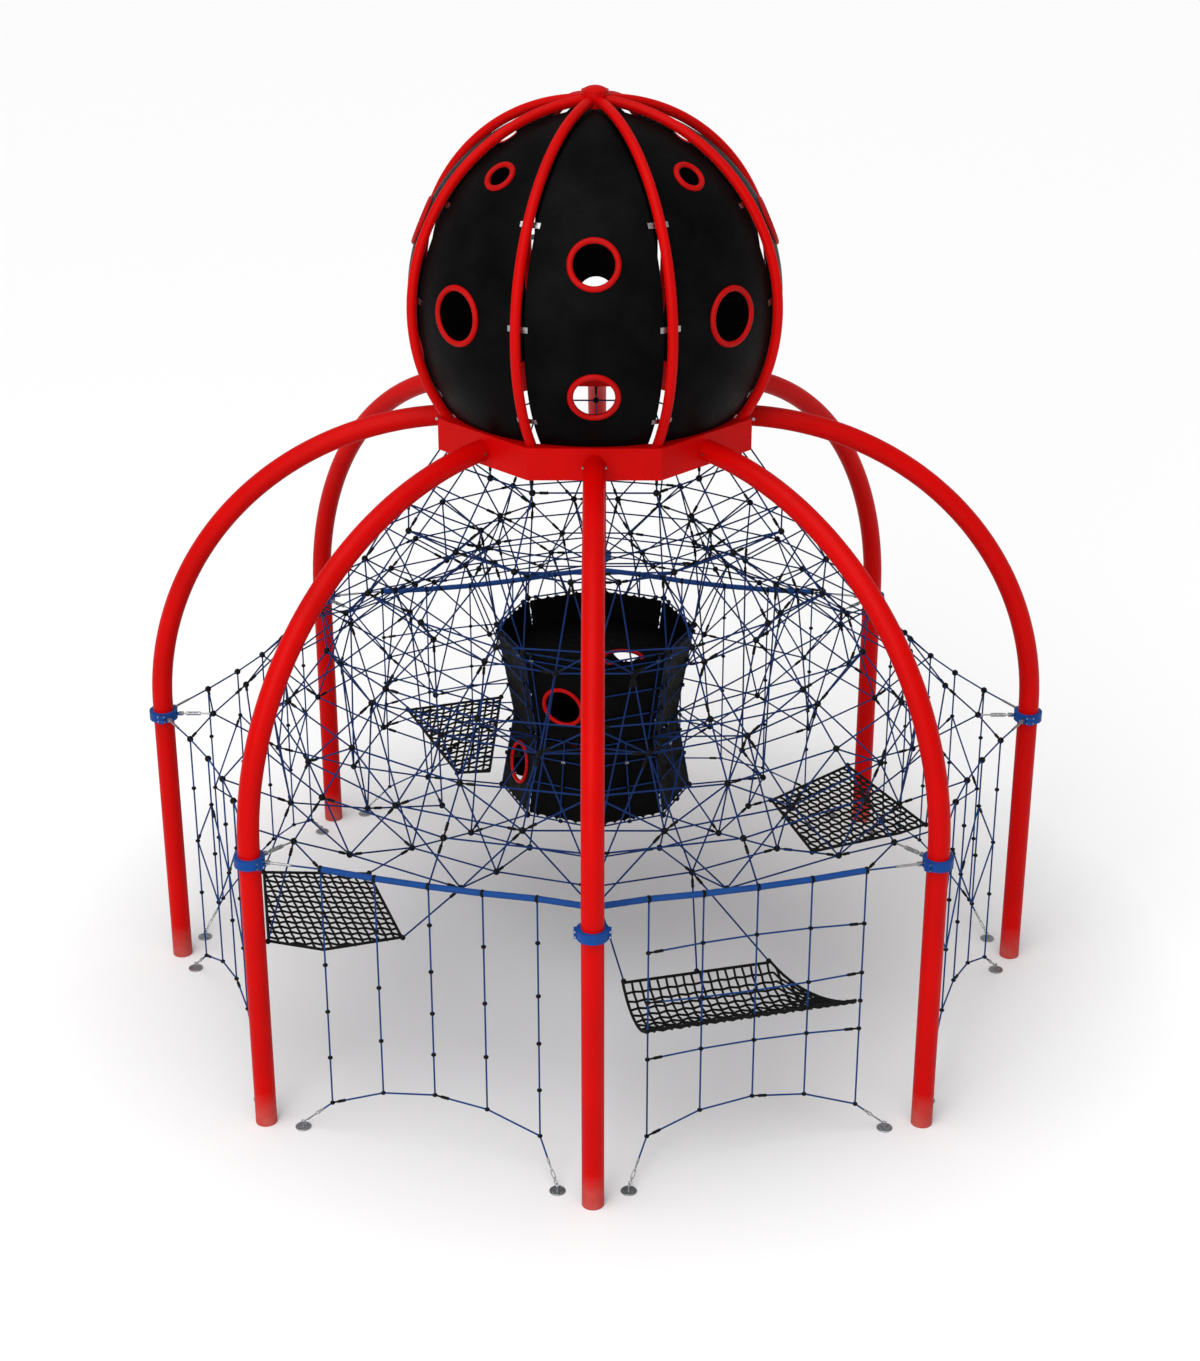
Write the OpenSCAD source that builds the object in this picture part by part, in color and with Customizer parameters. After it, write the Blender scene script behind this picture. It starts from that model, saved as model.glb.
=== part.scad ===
// Dome climber: eight bent tube arches carry an octagonal ring beam and a ribbed
// dome; a spatial rope net hangs from the ring and is tied out to the arches.

/* [Frame] */
// Radius of the circle that the arch legs stand on
post_circle_r = 5300; // [4400:50:6400]
// Outer diameter of an arch tube
arch_tube_d = 244.5; // [200:0.5:296]
// Wall of an arch tube
arch_wall = 10; // [6:1:16]
// Height of the straight, upright stretch of an arch
leg_straight_h = 3510; // [2900:10:4300]
// Centreline radius of the bend of an arch
arch_bend_r = 3730; // [3550:10:4000]
// Thickness of the plate that closes the foot of a leg
foot_plate_t = 20; // [10:1:40]

/* [Ring beam] */
// Distance from the axis to an outer face of the ring beam
ring_apothem = 1780; // [1600:10:2000]
// Height of the ring beam
ring_h = 370; // [330:5:450]
// Width of the ring beam's box section
ring_w = 160; // [120:5:220]
// Wall of the ring beam's box section
ring_wall = 12; // [8:1:20]
// Length of the stub that an arch end slides over
stub_l = 100; // [80:5:130]
// Radial clearance of the stub in the arch tube
stub_gap = 5; // [3:0.5:8]
// Diameter of the bolt that holds an arch end on its stub
arch_bolt_d = 24; // [16:1:30]

/* [Dome] */
// Centreline radius of a rib
rib_bend_r = 2194; // [2080:2:2400]
// Outer diameter of a rib tube
rib_tube_d = 114.3; // [88:0.1:140]
// Wall of a rib tube
rib_wall = 6; // [4:0.5:10]
// Radial room between the ribs' inner side and the panels
panel_inset = 8; // [4:1:30]
// Thickness of a dome panel
panel_t = 12; // [8:1:20]
// Distance from a rib's middle plane to a panel's edge
panel_edge = 72; // [50:1:120]
// Height of the hub
hub_h = 190; // [150:2:240]
// Height of the rounded cap on the hub
cap_h = 46; // [30:1:70]
// Inner diameter of the two portholes in a front-type panel
twin_hole_d = 450; // [340:10:520]
// Inner diameter of the large porthole in a side-type panel
large_hole_d = 540; // [400:10:620]
// Inner diameter of the small porthole in a side-type panel
small_hole_d = 250; // [180:10:300]
// Width of a porthole's rim
rim_w = 66; // [40:2:80]

/* [Collars] */
// Height of a collar's middle
collar_z = 3392; // [2800:4:3450]
// Outer diameter of a collar
collar_d = 340; // [330:2:400]
// Height of a collar
collar_h = 110; // [80:2:140]
// Radial clearance between a collar and its leg
collar_gap = 0.3; // [0.3:0.1:2]
// Thickness of a collar lug
lug_t = 16; // [12:1:20]
// Diameter of the pins that hold the fittings in the lugs
lug_pin_d = 20; // [16:1:24]

/* [Ropes] */
// Diameter of a net rope
rope_d = 18; // [14:1:22]
// Diameter of a net connector ball
ball_d = 78; // [64:1:90]
// Diameter of a rope ferrule
ferrule_d = 36; // [28:1:42]
// Length of a rope ferrule with its neck
ferrule_l = 140; // [110:5:180]
// Diameter of the padded sleeve on the front and back border ropes
sleeve_d = 72; // [50:1:90]
// Gap between a rope's end and what it is seated on
seat_gap = 0.3; // [0.2:0.1:0.5]

/* [Net] */
// Distance of the net's corners inside the leg circle
corner_inset = 610; // [560:10:900]
// The same distance on the front and back posts
pass_inset = 530; // [520:5:700]
// Distance from the axis of the hangers under the middle of each side of the ring
hang_r = 1660; // [1600:10:1700]
// How far the net's upper surface hangs below a straight line
net_sag = 200; // [50:10:400]
// How far the side borders bow towards the axis
border_bow = 200; // [40:10:300]

/* [Tunnel] */
// Corner radius of the tunnel's upper rim
tunnel_top_r = 1190; // [1000:10:1300]
// Height of the upper rim
tunnel_top_z = 4585; // [4300:5:4800]
// Corner radius of the tunnel's waist
tunnel_waist_r = 990; // [850:10:1100]
// Height of the waist
tunnel_waist_z = 3420; // [3300:5:3600]
// Corner radius of the lower rim
tunnel_low_r = 1160; // [1000:10:1300]
// Height of the lower rim
tunnel_low_z = 2430; // [2250:5:2600]
// Thickness of a membrane
membrane_t = 8; // [6:1:12]
// Inner diameter of a hole in a membrane
crawl_hole_d = 430; // [360:10:480]

/* [Curtains] */
// Distance of the ground anchors inside the leg circle
anchor_inset = 210; // [180:10:400]
// Height of the middle of a curtain's lower edge
curtain_low_z = 700; // [500:10:900]
// Diameter of a ground anchor plate
anchor_d = 180; // [140:5:240]

/* [Hidden] */
$fn = 48;
fine = 360;

// Frame
posts = 8;
step_a = 360 / posts;
half_a = step_a / 2;
over = 1;
foot = 12;
bend_x = post_circle_r - arch_bend_r;
arch_end_a = bend_x < ring_apothem ? acos((ring_apothem - bend_x) / arch_bend_r) : 90;
arch_end_z = leg_straight_h + arch_bend_r * sin(arch_end_a);
ring_lift = 16;
ring_mid_z = arch_end_z + ring_lift;
ring_top_z = ring_mid_z + ring_h / 2;
ring_low_z = ring_mid_z - ring_h / 2;
arch_bore = arch_tube_d - 2 * arch_wall;
stub_d = arch_bore - 2 * stub_gap;
stub_wall = 12;
bolt_gap = 0.3;
bolt_head_d = 1.6 * arch_bolt_d;
bolt_head_h = 0.6 * arch_bolt_d;
vent_d = 30;

// Dome
rib_foot_inset = 35;
rib_foot_r = (ring_apothem - ring_w / 2) / cos(half_a) - rib_foot_inset;
dome_z = ring_top_z + sqrt(rib_bend_r * rib_bend_r - rib_foot_r * rib_foot_r);
rib_room = 2;
hub_d = (rib_tube_d + rib_room) / sin(half_a);
hub_z = dome_z + rib_bend_r + 12;
panel_out_r = rib_bend_r - rib_tube_d / 2 - panel_inset;
twin_hole_el = [23.5, -16];
large_hole_el = 4.3;
small_hole_el = 47.5;
clip_el = [34, 4, -26];
clip_half_w = panel_edge + 45;
clip_l = 64;

// Collars and their fittings
ear_w = 26;
ear_t = 34;
split_gap = 6;
ear_bolt_d = 16;
lug_x = collar_d / 2 + 30;
lug_r = 24;
side_lug_a = 62;
cheek_t = 10;
cheek_gap = 0.5;
fork_l = 44;
rod_d = 20;
rod_clear = 0.05;
sleeve_start = 30;
boss_l = 40;
boss_d = 46;
body_l = 180;
bar_w = 16;
bar_t = 9;

function polar(r, a, z) = [r * cos(a), r * sin(a), z];
function mix(a, b, t) = a + (b - a) * t;
function flat_r(p) = norm([p.x, p.y]);
function is_pass(k) = k % 4 == 2;
function is_padded(b) = is_pass(b) || is_pass(b + 1);
function inset(k) = is_pass(k) ? pass_inset : corner_inset;
function corner(k) = polar(post_circle_r - inset(k), step_a * k, collar_z);
function lug_eye(k, turn) =
  polar(post_circle_r, step_a * k, collar_z) + polar(lug_x, step_a * k + 180 - turn, 0);
function border_end(k, side) = is_pass(k) ? corner(k) : lug_eye(k, side * side_lug_a);
padded_bow = 30;
padded_dip = 40;
// The dip is nothing at the first and last tie, and whole in the middle
function dip(b, t) = is_padded(b) ? padded_dip * max(0, 9 * t * (1 - t) - 1.25) : 0;
function border_at(b, t) =
  let (p = mix(border_end(b, 1), border_end(b + 1, -1), t),
       bow = (is_padded(b) ? padded_bow : border_bow) * 4 * t * (1 - t))
  polar(flat_r(p) - bow, atan2(p.y, p.x), p.z - dip(b, t));

// Net: rows of connectors on three surfaces
columns = 2 * posts;
column_a = 360 / columns;
hang_drop = 190;
hang_z = ring_low_z - hang_drop;
upper_share = [0, 0.18, 0.36, 0.54, 0.71, 0.86];
upper_last = len(upper_share) - 1;
middle_share = [[0.06, 0.66], [0.30, 0.44], [0.54, 0.27], [0.78, 0.12]];
middle_last = len(middle_share) - 1;
floor_share = [[0, 0], [0.26, 0.10], [0.52, 0.25], [0.78, 0.52]];
floor_last = len(floor_share) - 1;
star_z = hang_z - 1500;
star_d = 130;
clamp_d = sleeve_d + 16;
cross_d = 58;

function hang_at(j) = j % 2 == 0 ? hang_r : hang_r / cos(half_a);
function column_end(j) = j % 2 == 0 ? corner(j / 2) : border_at((j - 1) / 2, 0.5);
function upper_at(i, j) =
  let (s = upper_share[i], e = column_end(j % columns))
  polar(mix(hang_at(j), flat_r(e), s), column_a * j, mix(hang_z, e.z, s) - net_sag * 4 * s * (1 - s));
function middle_at(i, j) =
  polar(mix(tunnel_top_r, post_circle_r - corner_inset, middle_share[i][0]),
        column_a * (j + 0.5), mix(collar_z, hang_z, middle_share[i][1]));
function rim_r(r, j) = j % 2 == 0 ? r : r * cos(half_a);
function floor_at(i, j) =
  polar(mix(rim_r(tunnel_low_r, j), flat_r(column_end(j % columns)), floor_share[i][0]),
        column_a * j, mix(tunnel_low_z, collar_z, floor_share[i][1]));
function top_rim(k) = polar(tunnel_top_r, step_a * k, tunnel_top_z);
function waist(k) = polar(tunnel_waist_r, step_a * k, tunnel_waist_z);
function low_rim(k) = polar(tunnel_low_r, step_a * k, tunnel_low_z);
star = [0, 0, star_z];

// Mats: height, corners in plan, anticlockwise, and the corners that are tied up
mats = [
  [2230, [[-2650, -1930], [-3900, -1900], [-3640, -3510], [-3000, -3700], [-2140, -3420]],
   [0, 1, 2, 4]],
  [2650, [[3130, 100], [2120, -850], [2520, -2170], [3600, -1700], [3920, -1480]],
   [0, 1, 2, 4]],
  [2700, [[-1250, 2000], [-2450, 1600], [-1700, -240], [-1300, -200]], [0, 1, 2]]];
mat_t = 24;
mat_margin = 90;
mat_ring_d = 64;
function cross_z(a, b) = a.x * b.y - a.y * b.x;
function in_mat(m, p) =
  let (c = m[1], n = len(c))
  min([for (i = [0:n - 1])
    let (e = c[(i + 1) % n] - c[i]) cross_z(e, [p.x, p.y] - c[i]) / norm(e)]) > -mat_margin;
function crosses(m, a, b) =
  (a.z - m[0]) * (b.z - m[0]) < 0 && in_mat(m, mix(a, b, (m[0] - a.z) / (b.z - a.z)));
function touches(m, p) = abs(p.z - m[0]) < mat_margin && in_mat(m, p);
function runs_in(m, a, b) = len([for (t = [0:0.1:1]) if (touches(m, mix(a, b, t))) 1]) > 0;
function clear_of_mats(s) =
  len([for (m = mats) if (crosses(m, s[0], s[1]) || runs_in(m, s[0], s[1])) 1]) == 0;
function clear_node(p) = len([for (m = mats) if (touches(m, p)) 1]) == 0;
function mat_corner(m, i) = [m[1][i].x, m[1][i].y, m[0]];

// Hammock, tied to the verticals of one curtain
hammock_bay = 6;
hammock_z = 1750;
hammock_w = 1050;
hammock_sag = 210;
hammock_tip_w = 90;
hammock_taper = 0.72;

// Curtains
ties = 5;
anchor_turn = 4.4;
anchor_plate_t = 14;
anchor_rod_h = 60;
diamond_levels = [0.3, 0.54, 0.78];
grid_levels = [0.32, 0.43, 0.54, 0.77];
odd_levels = [0.2, 0.4, 0.6, 0.82];
even_levels = [0.25, 0.5, 0.76];
function tie_t(i) = i / (ties + 1);
function low_edge(b, i) =
  let (p = border_at(b, tie_t(i)), t = tie_t(i)) [p.x, p.y, curtain_low_z * 4 * t * (1 - t)];
function anchor(k, side) =
  polar(post_circle_r - anchor_inset, step_a * k + side * anchor_turn, anchor_rod_h);
function tie_at(b, i, s) = mix(low_edge(b, i), border_at(b, tie_t(i)), s);
function is_grid(b) = b % 4 == 2;
function is_diamond(b) = b % 4 == 0 || b % 4 == 3;
function tie_levels(b, i) =
  b == hammock_bay
    ? let (e = low_edge(b, i), w = (hammock_z - e.z) / (border_at(b, tie_t(i)).z - e.z))
      [w - 0.12, w, w + 0.12, 0.78]
    : (is_grid(b) ? grid_levels : (is_diamond(b) ? diamond_levels : (i % 2 == 1 ? odd_levels : even_levels)));
function levels_of(b, i) = len(tie_levels(b, i));

// Rope runs: [end, end, radius kept clear at each end, ferrule at each end]
ball_r = ball_d / 2;
clamp_r = clamp_d / 2;
cross_r = cross_d / 2;
function run(a, b, ra, rb, fa, fb) = [a, b, ra, rb, fa, fb];
border_fitting_l = 290;
function hanger(j) = let (p = upper_at(0, j)) [p.x, p.y, ring_low_z];
function end_r(j) = j % 2 == 0 ? ball_r : (is_padded((j % columns - 1) / 2) ? clamp_r : ball_r);
function corner_clear(k) = is_pass(k) ? clamp_r : ball_r;

upper_runs = kept([
  for (j = [0:columns - 1]) run(hanger(j), upper_at(0, j), 0, ball_r, 0, 0),
  for (j = [0:columns - 1], i = [0:upper_last - 1])
    run(upper_at(i, j), upper_at(i + 1, j), ball_r, ball_r, 0, (i + j) % 3 == 0 ? 1 : 0),
  for (j = [0:columns - 1])
    run(upper_at(upper_last, j), column_end(j), ball_r, j % 2 == 0 ? corner_clear(j / 2) : end_r(j), 1, 0),
  for (j = [0:columns - 1], i = [0:upper_last])
    run(upper_at(i, j), upper_at(i, j + 1), ball_r, ball_r, (i + j) % 2, 0),
  for (k = [0:posts - 1], side = [-1, 1]) if (!is_pass(k))
    let (b = side > 0 ? k : k + posts - 1, t = side > 0 ? 1 / 6 : 5 / 6)
    run(corner(k), border_at(b % posts, t), ball_r, is_padded(b % posts) ? clamp_r : ball_r, 0, 1)]);
middle_runs = kept([
  for (j = [0:columns - 1], i = [0:middle_last])
    run(middle_at(i, j), middle_at(i, j + 1), ball_r, ball_r, 0, (i + j) % 2),
  for (j = [0:columns - 1], i = [0:middle_last - 1])
    run(middle_at(i, j), middle_at(i + 1, j), ball_r, ball_r, (i + j) % 2, 0),
  for (k = [0:posts - 1]) run(star, middle_at(0, 2 * k), star_d / 2, ball_r, 0, 1),
  for (k = [0:posts - 1]) run(top_rim(k), top_rim(k + 1), ball_r, ball_r, 0, 0),
  for (k = [0:posts - 1]) run(waist(k), waist(k + 1), ball_r, ball_r, 0, 0),
  for (k = [0:posts - 1]) run(top_rim(k), waist(k), ball_r, ball_r, 0, 0),
  for (k = [0:posts - 1]) run(waist(k), low_rim(k), ball_r, ball_r, 0, 0)]);
floor_runs = kept([
  for (j = [0:columns - 1], i = [0:floor_last])
    if (i > 0 || j % 2 == 0)
      run(floor_at(i, j), i > 0 ? floor_at(i, j + 1) : floor_at(0, j + 2), ball_r, ball_r,
          0, i > 0 ? (i + j) % 2 : 0),
  for (j = [0:columns - 1], i = [0:floor_last - 1])
    if (i > 0 || j % 2 == 0)
      run(floor_at(i, j), floor_at(i + 1, j), ball_r, ball_r, 0, (i + j) % 2 == 0 ? 1 : 0),
  for (j = [0:columns - 1])
    run(floor_at(floor_last, j), column_end(j), ball_r, j % 2 == 0 ? corner_clear(j / 2) : end_r(j), 1, 0)]);
upper_diagonals = kept([
  for (j = [0:columns - 1], i = [0:middle_last], d = [0, 1])
    run(middle_at(i, j), upper_at(i + 1, j + d), ball_r, ball_r, d, 0),
  for (k = [0:posts - 1], d = [0, 1])
    run(top_rim(k), middle_at(0, 2 * k + columns - d), ball_r, ball_r, 0, d)]);
lower_diagonals = kept([
  for (j = [0:columns - 1], i = [1:middle_last], d = [0, 1])
    if (i > 1 || d == 0) run(middle_at(i, j), floor_at(i, j + d), ball_r, ball_r, 1 - d, 0),
  for (k = [0:posts - 1], d = [0, 1])
    run(waist(k), middle_at(2, 2 * k + columns - d), ball_r, ball_r, 0, 0),
  for (k = [0:posts - 1]) run(waist(k), floor_at(1, 2 * k), ball_r, ball_r, 0, 1)]);
border_runs = [
  for (b = [0:posts - 1], i = [0:ties])
    let (first = i == 0, last = i == ties, padded = is_padded(b),
         starts = first && is_pass(b), ends = last && is_pass(b + 1))
    if (!padded || (first && !starts) || (last && !ends))
      run(border_at(b, tie_t(i)), border_at(b, tie_t(i + 1)),
          first ? border_fitting_l : (padded ? clamp_r : ball_r),
          last ? border_fitting_l : (padded ? clamp_r : ball_r), 0, 0)];
sleeve_runs = [
  for (b = [0:posts - 1], i = [0:ties])
    if (is_padded(b) && (i > 0 || is_pass(b)) && (i < ties || is_pass(b + 1)))
      run(border_at(b, tie_t(i)), border_at(b, tie_t(i + 1)), clamp_r, clamp_r, 0, 0)];
anchor_fitting_l = 300;
function unit(v) = v / norm(v);
function anchor_top(k, side) =
  let (b = side > 0 ? k : k + posts - 1, a = anchor(k, side), p = low_edge(b % posts, side > 0 ? 1 : ties))
  a + unit(p - a) * anchor_fitting_l;
function tie_points(b, i) = concat([border_at(b, tie_t(i))],
  [for (n = [levels_of(b, i) - 1:-1:0]) tie_at(b, i, tie_levels(b, i)[n])], [low_edge(b, i)]);
function tie_r(b, n) = n == 0 ? (is_padded(b) ? clamp_r : ball_r) : cross_r;
curtain_runs = [
  for (b = [0:posts - 1], i = [1:ties])
    let (p = tie_points(b, i))
    for (n = [0:len(p) - 2]) run(p[n], p[n + 1], tie_r(b, n), cross_r, 0, 0),
  for (b = [0:posts - 1], i = [1:ties - 1])
    run(low_edge(b, i), low_edge(b, i + 1), cross_r, cross_r, i % 2, 0),
  for (b = [0:posts - 1]) run(anchor_top(b, 1), low_edge(b, 1), 0, cross_r, 0, 0),
  for (b = [0:posts - 1]) run(anchor_top(b + 1, -1), low_edge(b, ties), 0, cross_r, 0, 0),
  for (b = [0:posts - 1], i = [1:ties - 1], n = [0:3]) if (is_grid(b) && (b != hammock_bay || n != 1))
    run(tie_at(b, i, tie_levels(b, i)[n]), tie_at(b, i + 1, tie_levels(b, i + 1)[n]),
        cross_r, cross_r, i == 1 ? 1 : 0, i == ties - 1 ? 1 : 0),
  for (b = [0:posts - 1], i = [1:ties - 1], n = [0, 2]) if (is_diamond(b))
    run(tie_at(b, i, tie_levels(b, i)[i % 2 == 1 ? 1 : n]),
        tie_at(b, i + 1, tie_levels(b, i + 1)[i % 2 == 1 ? n : 1]), cross_r, cross_r, n / 2, 0)];
all_nodes = concat(
  [for (i = [0:upper_last], j = [0:columns - 1]) upper_at(i, j)],
  [for (i = [0:middle_last], j = [0:columns - 1]) middle_at(i, j)],
  [for (i = [1:floor_last], j = [0:columns - 1]) floor_at(i, j)],
  [for (k = [0:posts - 1]) top_rim(k)], [for (k = [0:posts - 1]) waist(k)],
  [for (k = [0:posts - 1]) low_rim(k)]);
net_nodes = [for (p = all_nodes) if (clear_node(p)) p];
tie_reach = 160;
tie_nodes = concat(net_nodes, [for (k = [0:posts - 1]) corner(k)]);
// A node over the mat serves only where its rope stands steeper than 2 to 1
function barred(p, q, m) = q.z < p.z - tie_reach || (in_mat(m, q) && q.z - p.z < 2 * flat_r(q - p));
function nearest(p, m) =
  let (far = [for (q = tie_nodes) barred(p, q, m) ? 1e6 : norm(q - p)],
       best = min([for (f = far) f < tie_reach ? 1e6 : f]))
  [for (i = [0:len(far) - 1]) if (far[i] == best) tie_nodes[i]][0];
mat_runs = [for (m = mats, i = m[2]) let (p = mat_corner(m, i))
  run(p, nearest(p, m), mat_ring_d / 2, ball_r, 0, 1)];
hammock_p = border_at(hammock_bay, tie_t(1));
hammock_q = border_at(hammock_bay, tie_t(ties));
hammock_l = norm([hammock_q.x - hammock_p.x, hammock_q.y - hammock_p.y]);
hammock_a = atan2(hammock_q.y - hammock_p.y, hammock_q.x - hammock_p.x);
function hammock_point(u, v) =
  [hammock_p.x, hammock_p.y, hammock_z] + u * hammock_l * [cos(hammock_a), sin(hammock_a), 0]
  + (rope_d + v) * [-sin(hammock_a), cos(hammock_a), 0];
hammock_ties = [for (u = [0.01, 0.36, 0.71]) hammock_point(u, hammock_w)];
hammock_runs = [for (p = hammock_ties)
  run(p, nearest(p, mats[1]), mat_ring_d / 2, ball_r, 0, 1)];

function kept(runs) = [for (s = runs) if (clear_of_mats(s)) s];

// Shared shapes
module along(a, b) {
  d = b - a;
  translate(a) rotate([0, acos(d.z / norm(d)), atan2(d.y, d.x)]) children();
}
neck_l = 45;
chamfer = 8;
function ferrule_end(r) = r + seat_gap + ferrule_l;
function start_of(s) = s[4] == 1 ? ferrule_end(s[2]) + seat_gap : s[2] + seat_gap;
function end_of(s) = s[5] == 1 ? ferrule_end(s[3]) + seat_gap : s[3] + seat_gap;
module rope(s, d = rope_d) {
  l = norm(s[1] - s[0]);
  along(s[0], s[1]) translate([0, 0, start_of(s)]) cylinder(d = d, h = l - start_of(s) - end_of(s), $fn = 24);
}
module ropes(runs) for (s = runs) rope(s);
module ferrule(a, b, r) {
  along(a, b) translate([0, 0, r + seat_gap]) rotate_extrude($fn = 24)
    polygon([[0, 0], [rope_d / 2, 0], [rope_d / 2, neck_l], [ferrule_d / 2, neck_l + chamfer],
             [ferrule_d / 2, ferrule_l - chamfer], [rope_d / 2 + 1, ferrule_l], [0, ferrule_l]]);
}
module ferrules(runs) for (s = runs) {
  if (s[4] == 1) ferrule(s[0], s[1], s[2]);
  if (s[5] == 1) ferrule(s[1], s[0], s[3]);
}
module tube_bend(r, d, a0, a1) {
  rotate([90, 0, 0]) rotate([0, 0, a0]) rotate_extrude(angle = a1 - a0, $fn = fine)
    translate([r, 0]) circle(d = d);
}
module at_post(k) rotate([0, 0, step_a * k]) translate([post_circle_r, 0, 0]) children();

// Frame
module arch_solid(d, from_z) {
  translate([post_circle_r, 0, from_z]) cylinder(d = d, h = leg_straight_h - from_z);
  translate([bend_x, 0, leg_straight_h]) tube_bend(arch_bend_r, d, 0, arch_end_a + 2);
  if (bend_x > ring_apothem)
    translate([ring_apothem - over, 0, arch_end_z]) rotate([0, 90, 0])
      cylinder(d = d, h = bend_x - ring_apothem + over);
}
module at_arch_end() {
  translate([ring_apothem, 0, arch_end_z]) rotate([0, 90 + (90 - arch_end_a), 0]) children();
}
arch_bolt_x = 55;
module arch(k) {
  color("firebrick") rotate([0, 0, step_a * k]) difference() {
    arch_solid(arch_tube_d, 0);
    arch_solid(arch_bore, foot_plate_t);
    translate([ring_apothem + seat_gap - arch_tube_d * 2, -arch_tube_d, arch_end_z - arch_tube_d])
      cube([arch_tube_d * 2, arch_tube_d * 2, arch_tube_d * 2]);
    at_arch_end() translate([0, 0, arch_bolt_x]) rotate([90, 0, 0])
      cylinder(d = arch_bolt_d + 2 * bolt_gap, h = arch_tube_d * 2, center = true);
  }
}
module octagon(apothem, h) rotate([0, 0, half_a]) cylinder(r = apothem / cos(half_a), h = h, $fn = posts);
module ring_beam() {
  color("firebrick") difference() {
    union() {
      translate([0, 0, ring_low_z]) octagon(ring_apothem, ring_h);
      for (k = [0:posts - 1]) rotate([0, 0, step_a * k]) at_arch_end()
        translate([0, 0, -ring_wall]) cylinder(d = stub_d, h = stub_l + ring_wall);
    }
    translate([0, 0, ring_low_z - over]) octagon(ring_apothem - ring_w, ring_h + 2 * over);
    translate([0, 0, ring_low_z + ring_wall]) difference() {
      octagon(ring_apothem - ring_wall, ring_h - 2 * ring_wall);
      translate([0, 0, -over]) octagon(ring_apothem - ring_w + ring_wall, ring_h);
    }
    for (k = [0:posts - 1]) rotate([0, 0, step_a * k]) {
      at_arch_end() translate([0, 0, ring_wall]) cylinder(d = stub_d - 2 * stub_wall, h = stub_l);
      at_arch_end() translate([0, 0, arch_bolt_x]) rotate([90, 0, 0])
        cylinder(d = arch_bolt_d + 2 * bolt_gap, h = arch_tube_d * 2, center = true);
      rotate([0, 0, half_a]) translate([rib_foot_r, 0, ring_low_z - over])
        cylinder(d = vent_d, h = ring_wall + 2 * over);
    }
  }
}
module arch_end_bolts() {
  color("gray") for (k = [0:posts - 1]) rotate([0, 0, step_a * k]) at_arch_end()
    translate([0, 0, arch_bolt_x]) rotate([90, 0, 0]) {
      cylinder(d = arch_bolt_d, h = arch_tube_d + 2 * bolt_gap + bolt_head_h, center = true);
      for (m = [0, 1]) mirror([0, 0, m]) translate([0, 0, arch_tube_d / 2 + bolt_gap])
        cylinder(d = bolt_head_d, h = bolt_head_h, $fn = 6);
    }
}

// Dome
module rib(k) {
  foot_a = -asin((dome_z - ring_top_z) / rib_bend_r);
  color("firebrick") rotate([0, 0, half_a + step_a * k]) difference() {
    translate([0, 0, dome_z]) difference() {
      tube_bend(rib_bend_r, rib_tube_d, foot_a - 4, 89);
      tube_bend(rib_bend_r, rib_tube_d - 2 * rib_wall, foot_a - 4.5, 89.5);
    }
    translate([0, -rib_bend_r, ring_top_z - rib_bend_r]) cube([2 * rib_bend_r, 2 * rib_bend_r, rib_bend_r]);
    translate([0, 0, hub_z - hub_h]) cylinder(d = hub_d + 2 * seat_gap, h = 2 * hub_h);
  }
}
module apex_hub() {
  color("firebrick") translate([0, 0, hub_z - hub_h / 2]) cylinder(d = hub_d, h = hub_h);
}
module apex_cap() {
  base_r = hub_d / 2 - 12;
  sphere_r = (base_r * base_r + cap_h * cap_h) / (2 * cap_h);
  color("firebrick") translate([0, 0, hub_z + hub_h / 2]) intersection() {
    translate([0, 0, cap_h - sphere_r]) sphere(r = sphere_r, $fn = 96);
    cylinder(r = hub_d, h = cap_h + over);
  }
}
module toward(a, el) translate([0, 0, dome_z]) rotate([0, 90 - el, a]) children();
function holes_of(k) = k % 2 == 0
  ? [[twin_hole_el[0], twin_hole_d], [twin_hole_el[1], twin_hole_d]]
  : [[small_hole_el, small_hole_d], [large_hole_el, large_hole_d]];
module panel(k) {
  tip = panel_edge / sin(half_a);
  reach = 2 * rib_bend_r;
  color("black") difference() {
    intersection() {
      translate([0, 0, dome_z]) difference() {
        sphere(r = panel_out_r, $fn = fine);
        sphere(r = panel_out_r - panel_t, $fn = fine);
      }
      rotate([0, 0, step_a * k]) translate([tip, 0, ring_top_z + seat_gap]) linear_extrude(2 * rib_bend_r)
        polygon([[0, 0], [reach, reach * tan(half_a)], [reach, -reach * tan(half_a)]]);
    }
    for (h = holes_of(k)) toward(step_a * k, h[0]) cylinder(d = h[1], h = 2 * rib_bend_r);
  }
}
module porthole_rims() {
  color("red") for (k = [0:posts - 1], h = holes_of(k)) {
    rim_r = h[1] / 2 + rim_w / 2;
    difference() {
      toward(step_a * k, h[0]) translate([0, 0, sqrt(panel_out_r * panel_out_r - rim_r * rim_r)])
        rotate_extrude($fn = fine) translate([rim_r, 0]) circle(d = rim_w);
      translate([0, 0, dome_z]) sphere(r = panel_out_r + seat_gap, $fn = fine);
    }
  }
}
module panel_clips() {
  color("silver") for (k = [0:posts - 1], el = clip_el) intersection() {
    translate([0, 0, dome_z]) difference() {
      sphere(r = panel_out_r + panel_inset - seat_gap, $fn = fine);
      sphere(r = panel_out_r + seat_gap, $fn = fine);
    }
    toward(half_a + step_a * k, el) translate([-clip_l / 2, -clip_half_w, 0])
      cube([clip_l, 2 * clip_half_w, 2 * rib_bend_r]);
  }
}

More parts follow.
